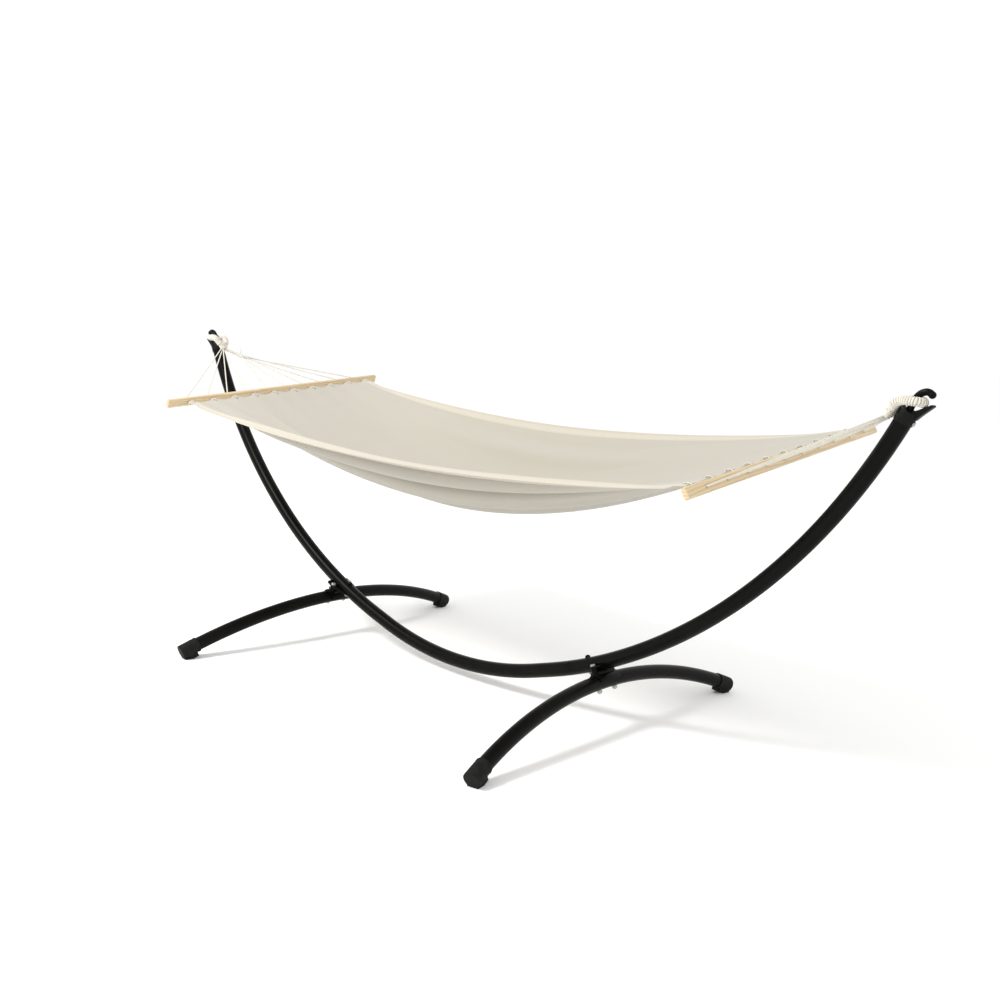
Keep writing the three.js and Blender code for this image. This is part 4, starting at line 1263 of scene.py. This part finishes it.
def cord_start(out, i):
    """Where a suspension cord leaves its knot, or its second gather."""
    from_gather = out < 0 and i >= LEFT_GATHERED_FROM
    origin = GATHER if from_gather else np.array((out * KNOT[0], 0.0, KNOT[2]))
    first = LEFT_GATHERED_FROM if from_gather else 0
    place = i - (first + CORD_COUNT - 1) / 2
    row = CORD_FAN_ROW if i % 2 == 0 else -CORD_FAN_ROW
    return origin + np.array((-out * CORD_START, place * CORD_FAN_PITCH, row))


GATHER = np.array((-KNOT[0] + LEFT_GATHER["along"], LEFT_GATHER["across"], KNOT[2] - LEFT_GATHER["down"]))


def in_frame(matrix, point):
    return matrix[:3, :3] @ np.array(point, float) + matrix[:3, 3]


def make_cords():
    """Each cord runs to the bar, through it, and loops through its eyelet."""
    face = BAR_THICKNESS / 2 + 0.005
    eyelets = {(end, i): surface_frame(u, t) for end, i, u, t in eyelet_places()}
    for end, (out, here) in BARS.items():
        for i in range(CORD_COUNT):
            outer = in_frame(here, (out * face, cord_y(i), 0.0))
            inner = in_frame(here, (-out * face, cord_y(i), 0.0))
            eyelet = eyelets[(end, i)]
            taut = np.array([cord_start(out, i), outer, inner])
            path = even_route(taut, CORD_STEP)
            lift = CLOTH_THICKNESS + CORD_RADIUS + 0.0003
            round_the_edge = [
                (EYELET_INSET * 0.9, lift), (0.001, lift * 0.8), (-0.0006, 0.0),
                (0.001, -lift * 0.8), (EYELET_INSET * 0.9, -lift),
            ]
            threaded = [in_frame(eyelet, (out * past, 0.0, high)) for past, high in round_the_edge]
            loop_route = smooth_route([inner, *threaded, inner + np.array((0, 0, -0.0008))], 8)
            loop = twisted_rope(loop_route, CORD_RADIUS * 0.8, 0.009, 0.001)
            name = f"cord_{end}_{i + 1}"
            cord = to_object(f"{name}_piece", twisted_rope(path, CORD_RADIUS, 0.011, CORD_STEP))
            finished(cord, "cotton_rope", "hammock", [name], 70)
            lacing = to_object(f"lacing_{end}_{i + 1}_piece", loop)
            finished(lacing, "cotton_rope", "hammock", [], 70)


def make_gather():
    """Six cords of the left end run together from the knot to a second tie."""
    start = np.array((-KNOT[0], 0.0, KNOT[2]))
    shapes = []
    gathered = CORD_COUNT - LEFT_GATHERED_FROM
    for k in range(gathered):
        angle = 2 * math.pi * k / gathered
        near = start + np.array((0.001, 0.0050 * math.cos(angle) + 0.005, 0.0042 * math.sin(angle)))
        far = GATHER + np.array((0.0, 0.0032 * math.cos(angle), 0.0032 * math.sin(angle)))
        shapes.append(twisted_rope(np.array([near, far]), CORD_RADIUS, 0.011, 0.0014))
    tie_start = start * 0.26 + GATHER * 0.74
    tie_end = GATHER - (GATHER - start) * 0.02
    tie_route = even_route(np.array([tie_start, tie_end]), 0.001)
    size = np.full(len(tie_route), TIE_RADIUS)
    shapes.append(wound(tie_route, size, size, TIE_CORD_RADIUS, points_per_turn=20))
    loose = smooth_route([GATHER + np.array(offset) for offset in LOOSE_END], 8)
    shapes.append(twisted_rope(loose, CORD_RADIUS * 0.75, 0.008, 0.001))
    piece = to_object("cord_gather_left_piece", merged(*shapes))
    finished(piece, "cotton_rope", "hammock", ["cord_gather_left"], 70)


# ---------------------------------------------------------------- surroundings
def make_camera():
    azimuth, elevation, roll = (math.radians(a) for a in (CAMERA_AZIMUTH, CAMERA_ELEVATION, CAMERA_ROLL))
    back = np.array((math.sin(azimuth) * math.cos(elevation), -math.cos(azimuth) * math.cos(elevation),
                     math.sin(elevation)))
    right = unit(np.cross((0.0, 0.0, 1.0), back))
    up = np.cross(back, right)
    rolled_right = right * math.cos(roll) + up * math.sin(roll)
    rolled_up = up * math.cos(roll) - right * math.sin(roll)
    data = bpy.data.cameras.new("camera")
    data.lens = CAMERA_LENS
    data.sensor_width = 36
    data.clip_end = 200
    camera = linked("camera", data)
    camera.matrix_world = Matrix(frame_of(rolled_right, rolled_up, back, CAMERA_PLACE).tolist())
    bpy.context.scene.camera = camera


def make_floor():
    size = 60.0
    floor = to_object("floor", block((-size, -size, -0.02), (size, size, 0.0)))
    n = Nodes("floor")
    patches = n.noise(n.place(), 1.2, 2.0)
    tone = n.ramp(patches, [(0.0, (0.955, 0.955, 0.952)), (1.0, (0.975, 0.975, 0.972))])
    floor.data.materials.append(n.finish(tone, None, None, Roughness=0.9))


def add_light(name, place, target, size, power, colour):
    data = bpy.data.lights.new(name, "AREA")
    data.energy = power
    data.size = size
    data.color = colour
    away = unit(np.array(place, float) - np.array(target, float))
    side = unit(np.cross((0.0, 0.0, 1.0), away))
    light = linked(name, data)
    light.matrix_world = Matrix(frame_of(side, np.cross(away, side), away, place).tolist())


def make_lights():
    world = bpy.data.worlds.new("studio")
    world.use_nodes = True
    background = world.node_tree.nodes["Background"]
    background.inputs["Color"].default_value = (1.0, 1.0, 1.0, 1.0)
    background.inputs["Strength"].default_value = 0.98
    bpy.context.scene.world = world
    add_light("key", (-1.5, -3.5, 4.2), (0.0, 0.0, 0.5), 1.2, 210.0, (1.0, 0.985, 0.96))
    add_light("fill", (4.5, -0.5, 2.2), (0.2, 0.0, 0.5), 3.0, 18.0, (0.97, 0.985, 1.0))
    view = bpy.context.scene.view_settings
    view.view_transform = "Standard"
    view.exposure = 0.09


# ---------------------------------------------------------------- assembly
make_camera()
make_cords()
make_gather()
make_tubes()
make_sleeves()
make_joint_fasteners()
make_saddles()
make_saddle_fasteners()
make_rubber_feet()
make_hooks()
make_hook_caps()
make_hook_bolts()
make_rope_loops()
make_rope_bindings()
make_spreader_bars()
cloth_piece = make_cloth()
eyelets_piece = make_eyelets()
make_floor()
make_lights()
